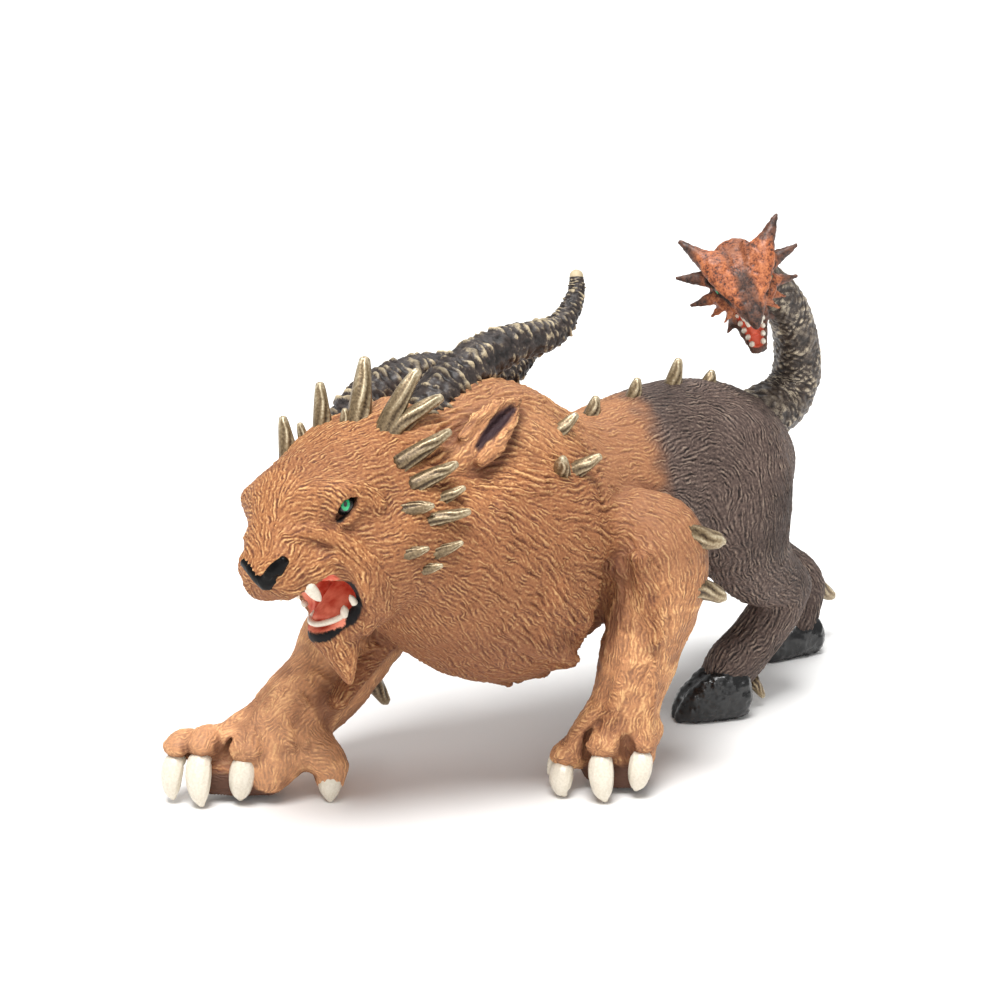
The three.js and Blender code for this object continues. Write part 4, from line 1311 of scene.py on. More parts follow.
def ball(centre: Vec, axis: Vec, radius: float, rows: int = 40, around: int = 56) -> Skin:
    """A sphere whose pole looks along axis, painted with `off`: how far off it, as a share of radius."""
    axis = unit(axis)
    wide = unit(np.cross(UP, axis))
    tall = np.cross(axis, wide)
    polar = np.linspace(0, math.pi, rows + 2)[1:-1]
    turn = np.arange(around) / around * 2 * math.pi
    p, w = np.meshgrid(polar, turn, indexing="ij")
    way = np.cos(p)[..., None] * axis + np.sin(p)[..., None] * (
        np.cos(w)[..., None] * wide + np.sin(w)[..., None] * tall)
    points = np.vstack([(centre + radius * way).reshape(-1, 3), centre + radius * axis,
                        centre - radius * axis])
    offset = points - centre
    beyond = np.where(offset @ axis > 0, 0, 9.0)
    off = np.hypot(offset @ wide, offset @ tall / 1.5) / radius + beyond
    return Skin(points, ring_faces(rows, around, inside_out=True), {"off": off})


def lumps(skin: Skin, size: float, depth: float, seed: int) -> Skin:
    """Raises seeded lumps of a size and depth in mm, and paints them as `ridge` from -1 to 1."""
    value = 0.65 * cloud(skin.points, size, seed) + 0.35 * cloud(skin.points, size * 0.47, seed + 1)
    skin.paint["ridge"] = value
    return skin.swell(value * depth)


@dataclass
class SpikeSet:
    """Bronze spikes, thick and blunt, grooved lengthwise."""

    rows: int = 26
    around: int = 40
    grooves: int = 8
    depth: float = 0.11

    def relief(self, turn: Vec, along: Vec) -> Vec:
        """Wandering lengthwise grooves: a cosine of the angle, bent by a slow wave along the spike."""
        bent = self.grooves * turn + 1.6 * np.sin(4 * along + 2 * np.cos(turn)) + 1.2 * np.sin(9 * along)
        return self.depth * np.cos(bent) * (0.55 + 0.45 * np.sin(2 * turn + 5 * along)) * (1 - 0.5 * along)

    def build(self, name: str, spikes: Iterable[Spike], material: bpy.types.Material) -> None:
        """One piece out of a group of spikes."""
        made = joined(tube(spike.chain(), self.rows, self.around, self.relief) for spike in spikes)
        made.paint["ridge"] = made.paint["ridge"] / self.depth + 1.2 * made.paint["run"] - 0.5
        show(name, made, material, "spike")


def both(*spikes: Spike) -> list[Spike]:
    """Spikes and their mirror images."""
    return [replace(s, root=on_side(s.root, side), tip=on_side(s.tip, side)) for s in spikes for side in Side]


# Each row of a mane spike: its root and tip in the head's frame, its radius, and how far it is sunk or bowed.
MANE_SPIKES = (
    *both(*(Spike(root, tip, radius, HEAD, sunk=sunk) for root, tip, radius, sunk in (
        ((20.2, 34.4, 6.2), (23.5, 38.6, 6.8), 1.5, 0.8), ((20.6, 35, 1), (24, 38, 1.8), 1.2, 1),
        ((20.2, 28, 2.1), (22.6, 29.4, 1.8), 1.2, 1.2), ((21.2, 31, -1.7), (26, 35.2, -2.3), 1.35, 0.8),
        ((21.3, 29, -8), (25, 31.4, -7.4), 1.05, 1), ((19.4, 22.8, -5.5), (22.2, 24.6, -5.4), 1.05, 1),
        ((19.6, 25.2, -10.1), (22.3, 26.6, -10.1), 0.95, 1)))),
    Spike((17.6, 35.4, 11.2), (21.2, 42, 12.6), 1.6, HEAD, sunk=0.6),
    *(Spike(root, tip, radius, HEAD, bow) for root, tip, radius, bow in (
        ((11.2, 38.5, 15.6), (17, 47, 18.2), 1.9, 0.05), ((9.5, 37, 16), (14, 46, 24.6), 2.1, 0.05),
        ((2.6, 35.8, 16.6), (2.6, 44.2, 28.9), 2.4, 0), ((0.6, 34, 17), (0.8, 36, 21.4), 1.3, 0),
        ((-5, 33.4, 17.2), (-5.4, 37.6, 26.8), 1.9, 0), ((-8, 30.4, 15), (-8.4, 31.4, 20.8), 1.3, 0),
        ((-11, 27.8, 14.6), (-12, 30.8, 22.6), 1.8, 0), ((-15, 32, 10), (-20, 40, 12), 1.6, 0))),
)
BACK_SPIKES = (
    Spike((0, 22, 74), (0, 23.3, 78), 1.7), Spike((0, 34.5, 75.2), (0, 35.8, 79.6), 1.7),
    Spike((0, 46.5, 75.4), (0, 48.4, 81.6), 1.8), Spike((0, 58, 74.4), (0, 59, 77), 1.6),
    *both(Spike((10.4, 1.4, 76.4), (12.2, 5.6, 80.4), 1.6),
          Spike((17.6, -3.6, 71.4), (20, -5.4, 75), 1.7, sunk=0.6),
          Spike((17.6, 0.8, 70.8), (20.6, 4.4, 73.6), 1.6, sunk=0.6)),
)
LEG_SPIKES = (
    Spike((30.6, 20.7, 55), (34.4, 27.6, 53.2), 2.6, sunk=0.4, blunt=0.35),
    Spike((32.4, 21.4, 43.8), (34.2, 28.6, 40.1), 2.3, BEAST, 0.06, blunt=0.3),
    Spike((-26, -18, 16), (-27, -13.5, 10), 1.8, blunt=0.35),
    Spike((-8, 103.5, 14.4), (-8, 110.6, 9.8), 2.1, blunt=0.4), Spike((12.5, 62, 6), (13, 64.2, 2.6), 1.2),
    Spike((8.5, 63, 6), (8, 65.2, 2.6), 1.2),
)


@dataclass
class Claws:
    """Ivory claws that hang from the toes, with faint lengthwise lines."""

    rows: int = 40
    around: int = 48

    def relief(self, turn: Vec, along: Vec) -> Vec:
        """Faint lengthwise lines and a swollen root."""
        return 0.02 * np.cos(11 * turn + 2 * np.sin(5 * along)) + 0.05 * (1 - along) ** 3

    def build(self, material: bpy.types.Material) -> None:
        """A piece for each forepaw."""
        left = [toe.claw() for toe in LEFT_TOES] + [DEWCLAW]
        right = [toe.claw() for toe in RIGHT_TOES] + [THUMB_CLAW]
        for name, claws in (("left_claws", left), ("right_claws", right)):
            made = joined(tube(claw, self.rows, self.around, self.relief) for claw in claws)
            show(name, made, material, "claw")


@dataclass
class Hoof:
    """A cloven hoof: two digits side by side, flat on the ground."""

    heel: tuple[float, float, float]
    aim: tuple[float, float]
    length: float
    half_width: float
    height: float
    pitch: float = 0.36
    lump_size: float = 1.4
    lump_depth: float = 0.42
    ground: float = 0.02

    def digits(self) -> list[Chain]:
        """The two digits' lines."""
        aim = unit(vec(*self.aim, 0))
        across = np.cross(aim, UP)
        heel = np.array(self.heel)
        made = []
        for side in Side:
            def at(along: float, height: float, wide: float, deep: float) -> tuple[float, ...]:
                out = across * side.value * self.half_width * (0.46 - 0.2 * along)
                return (*(heel + aim * along * self.length + out + UP * height), wide * self.half_width, deep)
            h = self.height
            made.append(limb(at(0.08, 0.5 * h, 0.52, 0.5 * h), at(0.4, 0.5 * h, 0.58, 0.56 * h),
                             at(0.78, 0.3 * h, 0.5, 0.38 * h), at(1.02, 0.8, 0.2, 0.12 * h),
                             across=tuple(across), blend=1.4))
        return made

    def build(self, name: str, material: bpy.types.Material) -> None:
        """The hoof as one closed piece, its horn chipped and lumpy."""
        centre = np.array(self.heel) + unit(vec(*self.aim, 0)) * self.length / 2 - FOOTPRINT_CENTRE
        reach = vec(0.8, 0.8, 0) * self.length + vec(2, 2, self.height + 4)
        clay = Clay((centre - reach) * vec(1, 1, 0) - UP, centre + reach, self.pitch)
        clay.add(*self.digits()).floor(0.12)
        points, faces = clay.surface()
        skin = lumps(Skin(points, faces), self.lump_size, self.lump_depth, 41)
        skin.points[:, 2] = np.maximum(skin.points[:, 2], self.ground)
        show(name, skin, material, "hoof")


LEFT_HOOF = Hoof((12.2, 58.2, 0), (-0.42, -0.9), 15.2, 5.9, 10.8)
RIGHT_HOOF = Hoof((-5.4, 100.5, 0), (-0.2, -0.98), 16.4, 6, 8.6)


@dataclass
class GoatHorns:
    """The pair of ridged goat horns, swept back over the shoulders."""

    line: tuple[tuple[float, float, float], ...] = (
        (-3, -6, 4.6), (4, -1.4, 5.3), (13, 2, 5.2), (24, 3, 4.8), (36, 2, 4.1), (47, -0.6, 3.3),
        (54.6, 0.8, 2.6), (59.6, 4, 2), (61.6, 7.4, 1.5))
    rows: int = 300
    around: int = 84
    ring_pitch: float = 1.75
    ring_height: float = 0.1      # as a share of the horn's radius
    length: float = 70.0

    def chain(self, side: Side, lift: float, lean: float) -> Chain:
        """A horn's line in the head's frame, leaned back by an angle in degrees."""
        c, s = math.cos(math.radians(lean)), math.sin(math.radians(lean))
        stations = [(side.value * (9.2 - 0.012 * y), 46 + y * c + z * s, 15 + lift - y * s + z * c, r, r)
                    for y, z, r in self.line]
        return Chain(stations, frame=HEAD, caps=(0.5, 0.9))

    def relief(self, turn: Vec, along: Vec) -> Vec:
        """Broken transverse ridges: a sharpened wave along the horn, bent round it and torn by lumps."""
        place = unrolled(turn, along, 3.2, self.length)
        bend = 0.6 * cloud(place, 4.0, 51) + 0.4 * cloud(place, 1.3, 52)
        rings = place[:, 2] / self.ring_pitch + 0.35 * np.cos(turn.ravel()) + bend
        wave = 0.5 + 0.5 * np.cos(2 * math.pi * rings)
        torn = 0.4 + 1.1 * cloud(place, 1.7, 53)
        knots = 0.9 * cloud(place, 1.2, 54) + 0.7 * cloud(place, 0.65, 55)
        raised = (wave**2 * torn * 1.7 + 0.8 * knots - 0.4) * smoothstep(1.04, 0.9, along.ravel())
        return (self.ring_height * raised).reshape(turn.shape)

    def build(self, material: bpy.types.Material) -> None:
        """Both horns, each in place of its solid."""
        for side, lift, lean in ((Side.LEFT, 0.0, 0.0), (Side.RIGHT, 3.5, 14.0)):
            made = tube(self.chain(side, lift, lean), self.rows, self.around, self.relief)
            worn_tip = 3 * smoothstep(0.985, 0.995, made.paint["run"])
            made.paint["ridge"] = made.paint["ridge"] / self.ring_height + worn_tip
            name = "horn_" + side.name.lower()
            show("ridged_" + name, made, material, "horn", (name,))


SERPENT_NECK = limb(
    (0, 68, 61, 6.6), (0, 76, 64, 6.6), (0, 82.5, 66, 6), (0.4, 86, 71, 5.5), (1, 85.4, 78, 5.1),
    (2, 82.4, 85, 4.8), (2.6, 78, 91, 4.6), (2.2, 72, 96, 4.6), (2.4, 66, 98.6, 5))
SERPENT_SKULL = limb((0, 18, 3.6, 5, 4.6), (0, 12, 3.6, 6.4, 4.4), (0, 7, 1.6, 4.4, 3.2), (0, 3, 0.4, 2.4, 2),
                     (0, 0.4, -1, 0.8, 1), frame=SERPENT, blend=1.5)
SERPENT_BROWS = pair(limb((1.8, 4.6, 2.6, 1, 0.8), (3.9, 8.2, 5.2, 2.1, 1.2), (5.6, 12.4, 7.6, 2.5, 1.6),
                          (6.2, 15.6, 8.4, 2, 1.5), frame=SERPENT, blend=0.7))
SERPENT_RIDGES = pair(
    limb((1, 1.4, 0.8, 0.6), (1.7, 4.6, 2.6, 0.75), (1.7, 8, 4.4, 0.6), frame=SERPENT, blend=0.5),
    limb((5.2, 12.6, 1.6, 1.6, 0.9), (5.6, 9, 0.6, 1.3, 0.8), (4.4, 6.4, 0.2, 0.7, 0.6), frame=SERPENT,
         blend=0.6),
    limb((2.6, 17, 8.4, 0.7), (2.3, 12.6, 8, 0.8), (1.7, 9.4, 6.4, 0.5), frame=SERPENT, blend=0.8))
SERPENT_HOLLOWS = pair(limb((4.4, 6.6, 2.4, 0.7), (5.8, 9.4, 3.6, 1.2), (6.8, 12, 4.4, 0.9), frame=SERPENT,
                            blend=0.5))
SERPENT_JAW = limb((0, 15, -3, 4.6, 2.6), (0, 9, -7.4, 3.8, 1.6), (0, 3.4, -11.6, 1.8, 1), frame=SERPENT,
                   blend=1.0)
SERPENT_LIPS = pair(limb((3.9, 11.6, -0.6, 0.7), (3.5, 10, -3.6, 0.7), (3.2, 8.6, -6.6, 0.7), frame=SERPENT,
                         blend=0.9))
SERPENT_GULLET = (
    limb((0, 14, -3.6, 3.2, 2.2), (0, 9, -5.4, 2.8, 1.4), (0, 4, -9.9, 1.1, 0.9), frame=SERPENT, blend=0.5),
    limb((0, 14, -2.4, 3, 1.6), (0, 8, -1.6, 2.6, 1.2), (0, 3, -1.9, 1, 0.8), frame=SERPENT, blend=0.5),
)
SERPENT_TONGUE = limb((0, 13, -5, 1.9, 1.2), (0, 9, -6.3, 1.8, 1), (0, 6, -8.6, 1, 0.7), frame=SERPENT,
                      blend=0.4)
SERPENT_BARBS = [
    limb((*(r * 0.7 for r in root[:1]), *root[1:], radius * 1.25), (*root, radius * 1.15),
         (*((a + b) / 2 for a, b in zip(root, tip)), radius * 0.75), (*tip, radius * 0.22),
         across=(0, 0, 1), frame=SERPENT, blend=1.2)
    for root, tip, radius in (
        ((5.6, 14, 7), (11, 20, 10.9), 2.1), ((6, 13.5, 3.6), (13.6, 15.5, 4.6), 1.8),
        ((5.8, 11, 0.4), (12, 11.6, -0.8), 1.5), ((3.8, 9.4, -0.4), (8.4, 9, -3.2), 1.2),
        ((3, 7.4, 0), (6.2, 5.4, -2.4), 1.0), ((3.2, 10, -7), (5.6, 8.6, -9.2), 1.0))
]


@dataclass
class SerpentTail:
    """The scaly tail with its horned, terracotta serpent's head."""

    rows: int = 260
    around: int = 90
    scales_round: int = 28
    scale_length: float = 1.15
    scale_height: float = 0.06    # as a share of the neck's radius
    length: float = 62.0
    pitch: float = 0.3
    reach: float = 17.0           # half the width of the block round the head
    eye_radius: float = 0.95

    def scales(self, turn: Vec, along: Vec) -> Vec:
        """Diamond scales: the product of two slanting waves, with seeded lumps."""
        place = unrolled(turn, along, 5, self.length)
        warp = 0.7 * cloud(place, 2.4, 61)
        u = turn.ravel() * self.scales_round / (2 * math.pi) + 0.8 * cloud(place, 2.0, 64)
        v = place[:, 2] / self.scale_length + warp
        value = np.abs(np.sin(math.pi * (u + v) / 2) * np.sin(math.pi * (u - v) / 2)) * 2 - 0.8
        value = value * (0.4 + 0.4 * cloud(place, 1.4, 62))
        value = value + 0.7 * cloud(place, 0.8, 63) + 0.35 * cloud(place, 3.0, 65)
        return (self.scale_height * value).reshape(turn.shape)

    def face(self) -> Skin:
        """The head's surface, painted with what is orange, red and raised."""
        centre = SERPENT.out(vec(0, 10, 0))
        clay = Clay(centre - self.reach, centre + self.reach, self.pitch)
        clay.add(SERPENT_SKULL, *SERPENT_BROWS, *SERPENT_RIDGES, SERPENT_JAW, *SERPENT_LIPS)
        clay.add(*pair(*SERPENT_BARBS))
        clay.cut(*SERPENT_GULLET, *SERPENT_HOLLOWS).add(SERPENT_TONGUE)
        points, faces = clay.surface()
        inside = distance_to(points, (*SERPENT_GULLET, SERPENT_TONGUE), centre, self.reach, self.pitch)
        local = SERPENT.back(points)
        x, y, z = np.abs(local[:, 0]), local[:, 1], local[:, 2]
        red = smoothstep(0.5, 0.2, inside) * smoothstep(3.4, 2.6, x)
        patch = 0.9 * cloud(points, 2.6, 71)
        plates = distance_to(points, SERPENT_BROWS, centre, self.reach, 0.6)
        dome = 0.55 * smoothstep(3, 5, z) * smoothstep(8, 11, y)
        brow = np.maximum(smoothstep(1.3, 0.3, plates + 0.5 * patch), dome)
        cheek = smoothstep(2.6, 3.6, x) * smoothstep(16, 12, y) * smoothstep(-7, -4, z)
        orange = np.clip(np.maximum(brow, 0.8 * cheek) + 0.2 * patch, 0, 1)
        out = np.maximum(smoothstep(7.6, 9.6, x + 0.8 * patch), smoothstep(9.4, 11.4, z + 0.8 * patch))
        snout = smoothstep(9.5, 7, y + 0.5 * patch) * smoothstep(2.8, 1.6, x + 0.4 * patch)
        orange = orange * (1 - out) * (1 - red) * (1 - 0.85 * snout)
        pits = distance_to(points, SERPENT_HOLLOWS, centre, self.reach, 0.6)
        pit = smoothstep(0.9, 0.1, pits)
        ridge = 0.6 * cloud(points, 1.0, 72) + 0.6 * cloud(points, 0.5, 73) - 0.9 * pit
        orange = orange * (1 - 0.8 * smoothstep(0.9, 0.2, pits))
        skin = Skin(points, faces, {"orange": orange, "red": red, "ridge": ridge})
        return skin.swell(0.2 * (ridge + 0.6 * pit) * (1 - red))

    def teeth(self) -> Skin:
        """Blocky teeth along both jaws."""
        rows = []
        for side in Side:
            for t in np.linspace(0, 1, 5):
                low = vec(3.0 - 1.7 * t, 9.6 - 5.2 * t, -6.2 - 4.3 * t)
                rows.append((low, low + vec(-0.1, -0.8, 1.5), side))
            for t in np.linspace(0, 1, 4):
                top = vec(3.0 - 1.5 * t, 9.0 - 5.6 * t, -0.6 - 0.6 * t)
                rows.append((top, top + vec(-0.1, -0.2, -1.8), side))
        return joined(
            tube(limb((*on_side(a, side), 0.62), (*on_side((a + b) / 2, side), 0.6), (*on_side(b, side), 0.4),
                      across=(0, 1, 0), frame=SERPENT), 8, 16)
            for a, b, side in rows)

    def build(self, scaly: bpy.types.Material, painted_face: bpy.types.Material, ivory: bpy.types.Material,
              eye: bpy.types.Material) -> None:
        """The tail, head, teeth and eyes."""
        neck = tube(SERPENT_NECK, self.rows, self.around, self.scales)
        neck.paint["ridge"] = neck.paint["ridge"] / self.scale_height
        show("serpent_neck", neck, scaly, "serpent", ("serpent_tail",))
        show("serpent_head", self.face(), painted_face, "serpent", ("serpent_tail",))
        show("serpent_teeth", self.teeth(), ivory, "claw")
        places = [(on_side((5.5, 9.6, 3.6), side), on_side((0.8, -0.6, 0), side)) for side in Side]
        eyes = joined(
            ball(SERPENT.out(np.array(place)), SERPENT.turn(np.array(gaze)), self.eye_radius, 20, 28)
            for place, gaze in places)
        show("serpent_eyes", eyes, eye, "eye")


@dataclass
class Teeth:
    """The lion's teeth: four canines, the rows between them and the molars."""

    rows: int = 20
    around: int = 24

    def canines(self) -> list[Chain]:
        """Each tooth from its root to its tip, on both sides."""
        made = []
        for a, b, r in (((7.3, 4.8, -4.4), (6.6, 6.8, -7.9), 1.3), ((5, 13.4, -14), (5.2, 13.6, -12.4), 1.0),
                        ((8.2, 13.8, -11.6), (8, 13.6, -10.1), 0.75)):
            for side in Side:
                root, tip = (np.array(on_side(p, side), float) for p in (a, b))
                if side is Side.RIGHT:  # the far teeth stand closer in and are shorter
                    root, tip = root * vec(0.72, 1, 1), (tip * 0.55 + root * 0.45) * vec(0.72, 1, 1)
                made.append(limb((*(root + (root - tip) * 0.2), r), (*(root * 0.6 + tip * 0.4), r * 0.9),
                                 (*(root * 0.2 + tip * 0.8), r * 0.6), (*tip, r * 0.25), frame=HEAD))
        return made

    def rows_between(self) -> list[Chain]:
        """The low ridges of small teeth between the canines, and the upper front teeth."""
        made = [limb((-5, 13.4, -14.3, 0.6), (-3, 11.2, -14.5, 0.65), (0, 10.1, -14.6, 0.6),
                     (3, 11.2, -14.5, 0.65), (5, 13.4, -14.3, 0.6), across=(0, 1, 0), frame=HEAD)]
        for x in (-3.2, -1.1, 1.1, 3.2):
            made.append(limb((x, 3.6 + 0.08 * x * x, -5, 0.6), (x, 3.8 + 0.08 * x * x, -6.2, 0.35),
                             frame=HEAD))
        return made

    def build(self, ivory: bpy.types.Material) -> None:
        """All the teeth as one piece."""
        chains = self.canines() + self.rows_between()
        show("teeth", joined(tube(chain, self.rows, self.around) for chain in chains), ivory, "claw")


@dataclass
class EyesAndNose:
    """The lion's painted eyes and its nose leather."""

    eye_radius: float = 2.55
    gaze: tuple[float, float, float] = (0.73, -0.64, 0.24)

    def eyes(self) -> Skin:
        """Both eyeballs, each painted about its gaze."""
        return joined(ball(HEAD.out(np.array(on_side(EYE_CENTRE, side))),
                           HEAD.turn(np.array(on_side(self.gaze, side))), self.eye_radius) for side in Side)

    def leather(self) -> Skin:
        """The V of the nose, broad at the wings and dented by the nostrils."""
        centre = HEAD.out(vec(0, 0, 1))
        clay = Clay(centre - 9, centre + 9, 0.25)
        for arm in (((3.6, -0.4, 1, 1.7, 1.3), (5.2, 0.4, 2.2, 1.6, 1.2), (6.5, 1.5, 3.3, 1.1, 1)),
                    ((-0.4, -0.6, 1.4, 1.7, 1.3), (-2, -0.1, 2.6, 1.6, 1.2), (-3.8, 0.6, 3.6, 1.1, 1))):
            clay.add(limb((1.5, -0.7, -0.4, 1.8, 1.3), *arm, across=(0, 0, 1), frame=HEAD, blend=0.6))
        clay.cut(*pair(limb((3.4, -2.3, -0.6, 0.5), (5.4, -0.6, 0.6, 0.6), frame=HEAD, blend=0.5)))
        points, faces = clay.surface()
        return lumps(Skin(points, faces), 0.9, 0.06, 81)

    def build(self, eye: bpy.types.Material, gloss: bpy.types.Material) -> None:
        """The eyes and the nose as two pieces."""
        show("eyes", self.eyes(), eye, "eye")
        show("nose_leather", self.leather(), gloss, "hoof")


@dataclass(frozen=True)
class DryBrush:
    """Paint in three tones by the carved height: a wash in the grooves, a base, and a touch of the brush."""

    name: str
    groove: str
    base: str
    top: str
    where: tuple[float, float] = (0.3, 0.9)
    patchy: float = 0.5
    patch_mm: float = 3.0
    roughness: float = 0.5
    metallic: float = 0.0
    coat: float = 0.0
    bump_mm: float = 0.05
    grain_mm: float = 0.5
    specular: float = 0.5

    def colour(self, tree: Tree) -> Socket:
        """The three tones, the top one patchy as a dry brush leaves it."""
        ridge = calc(tree, "ADD", painted(tree, "ridge"),
                     ramp(tree, grain(tree, self.grain_mm), 0.3, 0.7, -0.4, 0.4))
        wash = blend_colour(tree, ramp(tree, ridge, -0.9, 0.1), self.groove, self.base)
        brushed = ramp(tree, ridge, *self.where)
        patch = ramp(tree, grain(tree, self.patch_mm, 2), 0.4, 0.6, 1 - self.patchy, 1)
        return blend_colour(tree, calc(tree, "MULTIPLY", brushed, patch), wash, self.top)

    def material(self) -> bpy.types.Material:
        """The finish, its bump a fine grain."""
        return shader(self.name, self.colour, lambda tree: grain(tree, self.grain_mm), self.bump_mm,
                      self.roughness, 0.08, self.metallic, self.coat, self.specular)


# Matt black vinyl with a bone-coloured dry brush: the light catches only the tops of the rings.
HORN_PAINT = DryBrush("dry_brushed_horn_vinyl", "#1C1715", "#3E3430", "#CDBB98", where=(0.1, 1.0), patchy=0.6,
                      patch_mm=6.0)
# Dark brown vinyl with a touch of metal in the dry brush: the scales glint a little.
SCALE_PAINT = DryBrush("dry_brushed_scale_vinyl", "#211B17", "#4C4038", "#E2D2B6", where=(0.0, 1.0),
                       patchy=0.8, patch_mm=6.0, roughness=0.42, metallic=0.2, grain_mm=0.35)
# Metallic antique gold paint: the metal base and brown wash give the sheen of old bronze.
GOLD_PAINT = DryBrush("antique_gold_paint", "#3E2F20", "#8C785A", "#E4D6B6", where=(0.1, 1.3), patchy=0.4,
                      patch_mm=2.0, roughness=0.4, metallic=0.45)
# Ivory enamel: satin, a little warmer in its grooves.
IVORY_PAINT = DryBrush("ivory_enamel", "#D0C6B2", "#E3DAC8", "#ECE5D7", where=(0.0, 0.8), patchy=0.3,
                       patch_mm=2.0, roughness=0.32, coat=0.2, bump_mm=0.02)
# Satin black enamel: dark leather with a soft light.
NOSE_PAINT = DryBrush("satin_black_enamel", "#040304", "#060506", "#101010", where=(0.3, 1.2), patchy=0.3,
                      patch_mm=1.0, roughness=0.4, coat=0.04, bump_mm=0.1, grain_mm=0.9, specular=0.14)
# Gloss black enamel over chipped vinyl: a hard coat gives the sharp lights.
BLACK_PAINT = DryBrush("gloss_black_enamel", "#060606", "#0D0D0E", "#1C1C1E", where=(0.3, 1.2), patchy=0.3,
                       patch_mm=1.0, roughness=0.33, coat=0.35, bump_mm=0.14, grain_mm=0.9)


@dataclass(frozen=True)
class EyePaint:
    """Green enamel with a black pupil and rim under a clear gloss."""

    green: str = "#12A565"
    bright: str = "#33D08A"
    black: str = "#0C0C0D"
    pupil: float = 0.13
    iris: float = 0.32

    def colour(self, tree: Tree) -> Socket:
        """Rings about the gaze: pupil, iris, rim."""
        off = painted(tree, "off")
        iris = blend_colour(tree, ramp(tree, grain(tree, 0.8), 0.35, 0.65), self.green, self.bright)
        seen = blend_colour(tree, ramp(tree, off, self.pupil, self.pupil + 0.03), self.black, iris)
        return blend_colour(tree, ramp(tree, off, self.iris, self.iris + 0.05), seen, self.black)

    def material(self) -> bpy.types.Material:
        """Enamel under gloss."""
        return shader("gloss_eye_enamel", self.colour, lambda tree: grain(tree, 1.0), 0.01, 0.3, 0.05,
                      coat=0.3)


@dataclass(frozen=True)
class FacePaint:
    """The serpent's face: orange brushed over dark brown, and a red mouth."""

    dark: str = "#2A1E1A"
    brown: str = "#6A4636"
    orange: str = "#98502F"
    bright: str = "#CE7F50"
    red: str = "#EA6A4E"

    def colour(self, tree: Tree) -> Socket:
        """Brown skin, orange where it is painted so, lighter on what stands out."""
        ridge = calc(tree, "ADD", painted(tree, "ridge"),
                     ramp(tree, grain(tree, 0.4, 2), 0.3, 0.7, -0.65, 0.65))
        skin = blend_colour(tree, ramp(tree, ridge, -0.7, 0.7), self.dark, self.brown)
        paint = blend_colour(tree, ramp(tree, ridge, -0.4, 0.9), self.orange, self.bright)
        low = blend_colour(tree, ramp(tree, ridge, -1.0, -0.1), skin, paint)
        face = blend_colour(tree, painted(tree, "orange"), skin, low)
        return blend_colour(tree, painted(tree, "red"), face, self.red)

    def material(self) -> bpy.types.Material:
        """Satin acrylic."""
        return shader("hand_painted_serpent_vinyl", self.colour, lambda tree: grain(tree, 0.5), 0.06, 0.5)


# The stage

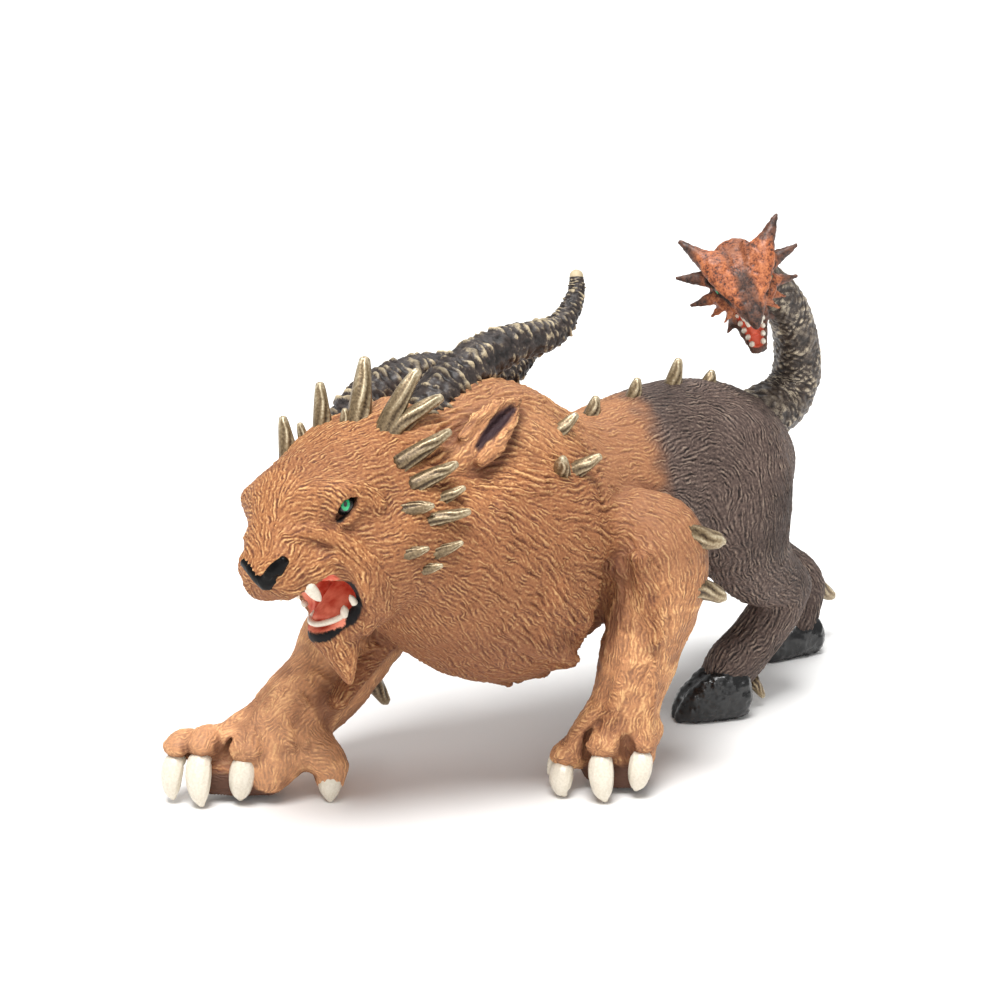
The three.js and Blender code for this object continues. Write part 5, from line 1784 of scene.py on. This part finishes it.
@dataclass(frozen=True)
class Studio:
    """A white table top under a soft box, seen from the front left and a little above."""

    azimuth: float = 47.5
    elevation: float = 18.0
    distance: float = 720.0
    target: tuple[float, float, float] = (-4.0, -20.4, 59.0)
    pixels_per_mm: float = 4.7
    frame_pixels: int = 1000
    sensor_mm: float = 36.0
    clip_end_m: float = 20.0
    table_half_m: float = 6.0
    # name, place in mm, softness in degrees and strength
    lamps: tuple[tuple[str, tuple[float, float, float], float, float], ...] = (
        ("key_light", (110, -190, 700), 30, 3.7), ("front_light", (700, -500, 420), 40, 0.35),
        ("back_light", (-260, 500, 600), 40, 0.7))

    def camera(self) -> None:
        """The camera at the photograph's angle, with a long lens."""
        azimuth, elevation = math.radians(self.azimuth), math.radians(self.elevation)
        back = vec(math.sin(azimuth) * math.cos(elevation), -math.cos(azimuth) * math.cos(elevation),
                   math.sin(elevation))
        data = bpy.data.cameras.new("camera")
        data.sensor_width = self.sensor_mm
        data.lens = self.sensor_mm * self.pixels_per_mm * self.distance / self.frame_pixels
        data.clip_end = self.clip_end_m
        bpy.context.scene.camera = self.mounted(data, back, np.array(self.target) + back * self.distance)

    def lamp(self, name: str, place: Sequence[float], softness: float, strength: float) -> None:
        """A far, soft light that shines from a place's direction: its angle is the softness in degrees."""
        data = bpy.data.lights.new(name, "SUN")
        data.angle = math.radians(softness)
        data.energy = strength
        self.mounted(data, unit(vec(*place)), vec(*place))

    def mounted(self, data: bpy.types.ID, back: Vec, place: Vec) -> bpy.types.Object:
        """A camera or lamp at a place in mm, held level, that looks against the direction `back`."""
        made = bpy.data.objects.new(data.name, data)
        right = unit(np.cross(UP, back))
        turned = np.eye(4)
        turned[:3, 0], turned[:3, 1], turned[:3, 2] = right, np.cross(back, right), back
        turned[:3, 3] = place * MILLIMETRE
        made.matrix_world = turned.T
        bpy.context.scene.collection.objects.link(made)
        return made

    def build(self) -> None:
        """The camera, the lights, the white surroundings and the table top."""
        self.camera()
        for lamp in self.lamps:
            self.lamp(*lamp)
        world = bpy.data.worlds.new("white_room")
        world.use_nodes = True
        background = world.node_tree.nodes["Background"]
        background.inputs["Color"].default_value = linear("#FFFFFF")
        seen = node(world.node_tree, "LightPath").outputs["Is Camera Ray"]
        world.node_tree.links.new(ramp(world.node_tree, seen, 0, 1, 0.4, 1.0), background.inputs["Strength"])
        bpy.context.scene.world = world
        bpy.context.scene.view_settings.view_transform = "Standard"
        corners = np.array([[-1, -1, 0], [1, -1, 0], [1, 1, 0], [-1, 1, 0]]) * self.table_half_m / MILLIMETRE
        floor = make_mesh("table_top", corners, np.array([[0, 1, 2, 3]]))
        card = shader("white_card", self.card, lambda tree: grain(tree, 1.0), 0.02, 0.8, 0.05)
        floor.data.materials.append(card)
        floor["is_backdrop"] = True

    def card(self, tree: Tree) -> Socket:
        """Matt white card, hardly mottled."""
        return blend_colour(tree, grain(tree, 40), "#F2F1EF", "#F8F8F7")


def dress_hide() -> None:
    """Models, combs and parts the hide."""
    hide = Hide()
    rough = hide.uncut(hide.block(2 * hide.pitch))
    whole = hide.uncut(hide.block(hide.pitch))
    clay = hide.opened(whole.copy())
    points, faces = clay.surface()
    log.info("hide: %d points, %d faces", len(points), len(faces))
    parts = hide.part(hide.comb(Skin(points, faces), clay, whole, rough))
    coat = CoatPaint().material()
    for name, skin in parts.items():
        show(name, skin, coat, "body", ("body",))


def main() -> None:
    """Builds the figurine's looks around the fixed frame."""
    logging.basicConfig(level=logging.INFO, format="%(message)s")
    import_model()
    Studio().build()
    dress_hide()
    gold, ivory, gloss, eye = (p.material() for p in (GOLD_PAINT, IVORY_PAINT, BLACK_PAINT, EyePaint()))
    rows = {"mane_spikes": MANE_SPIKES, "back_spikes": BACK_SPIKES, "leg_spikes": LEG_SPIKES}
    for name, spikes in rows.items():
        SpikeSet().build(name, spikes, gold)
    Claws().build(ivory)
    for name, hoof in (("left_hoof", LEFT_HOOF), ("right_hoof", RIGHT_HOOF)):
        hoof.build(name, gloss)
    GoatHorns().build(HORN_PAINT.material())
    SerpentTail().build(SCALE_PAINT.material(), FacePaint().material(), ivory, eye)
    Teeth().build(ivory)
    EyesAndNose().build(eye, NOSE_PAINT.material())
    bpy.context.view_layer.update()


if __name__ == "__main__":
    main()
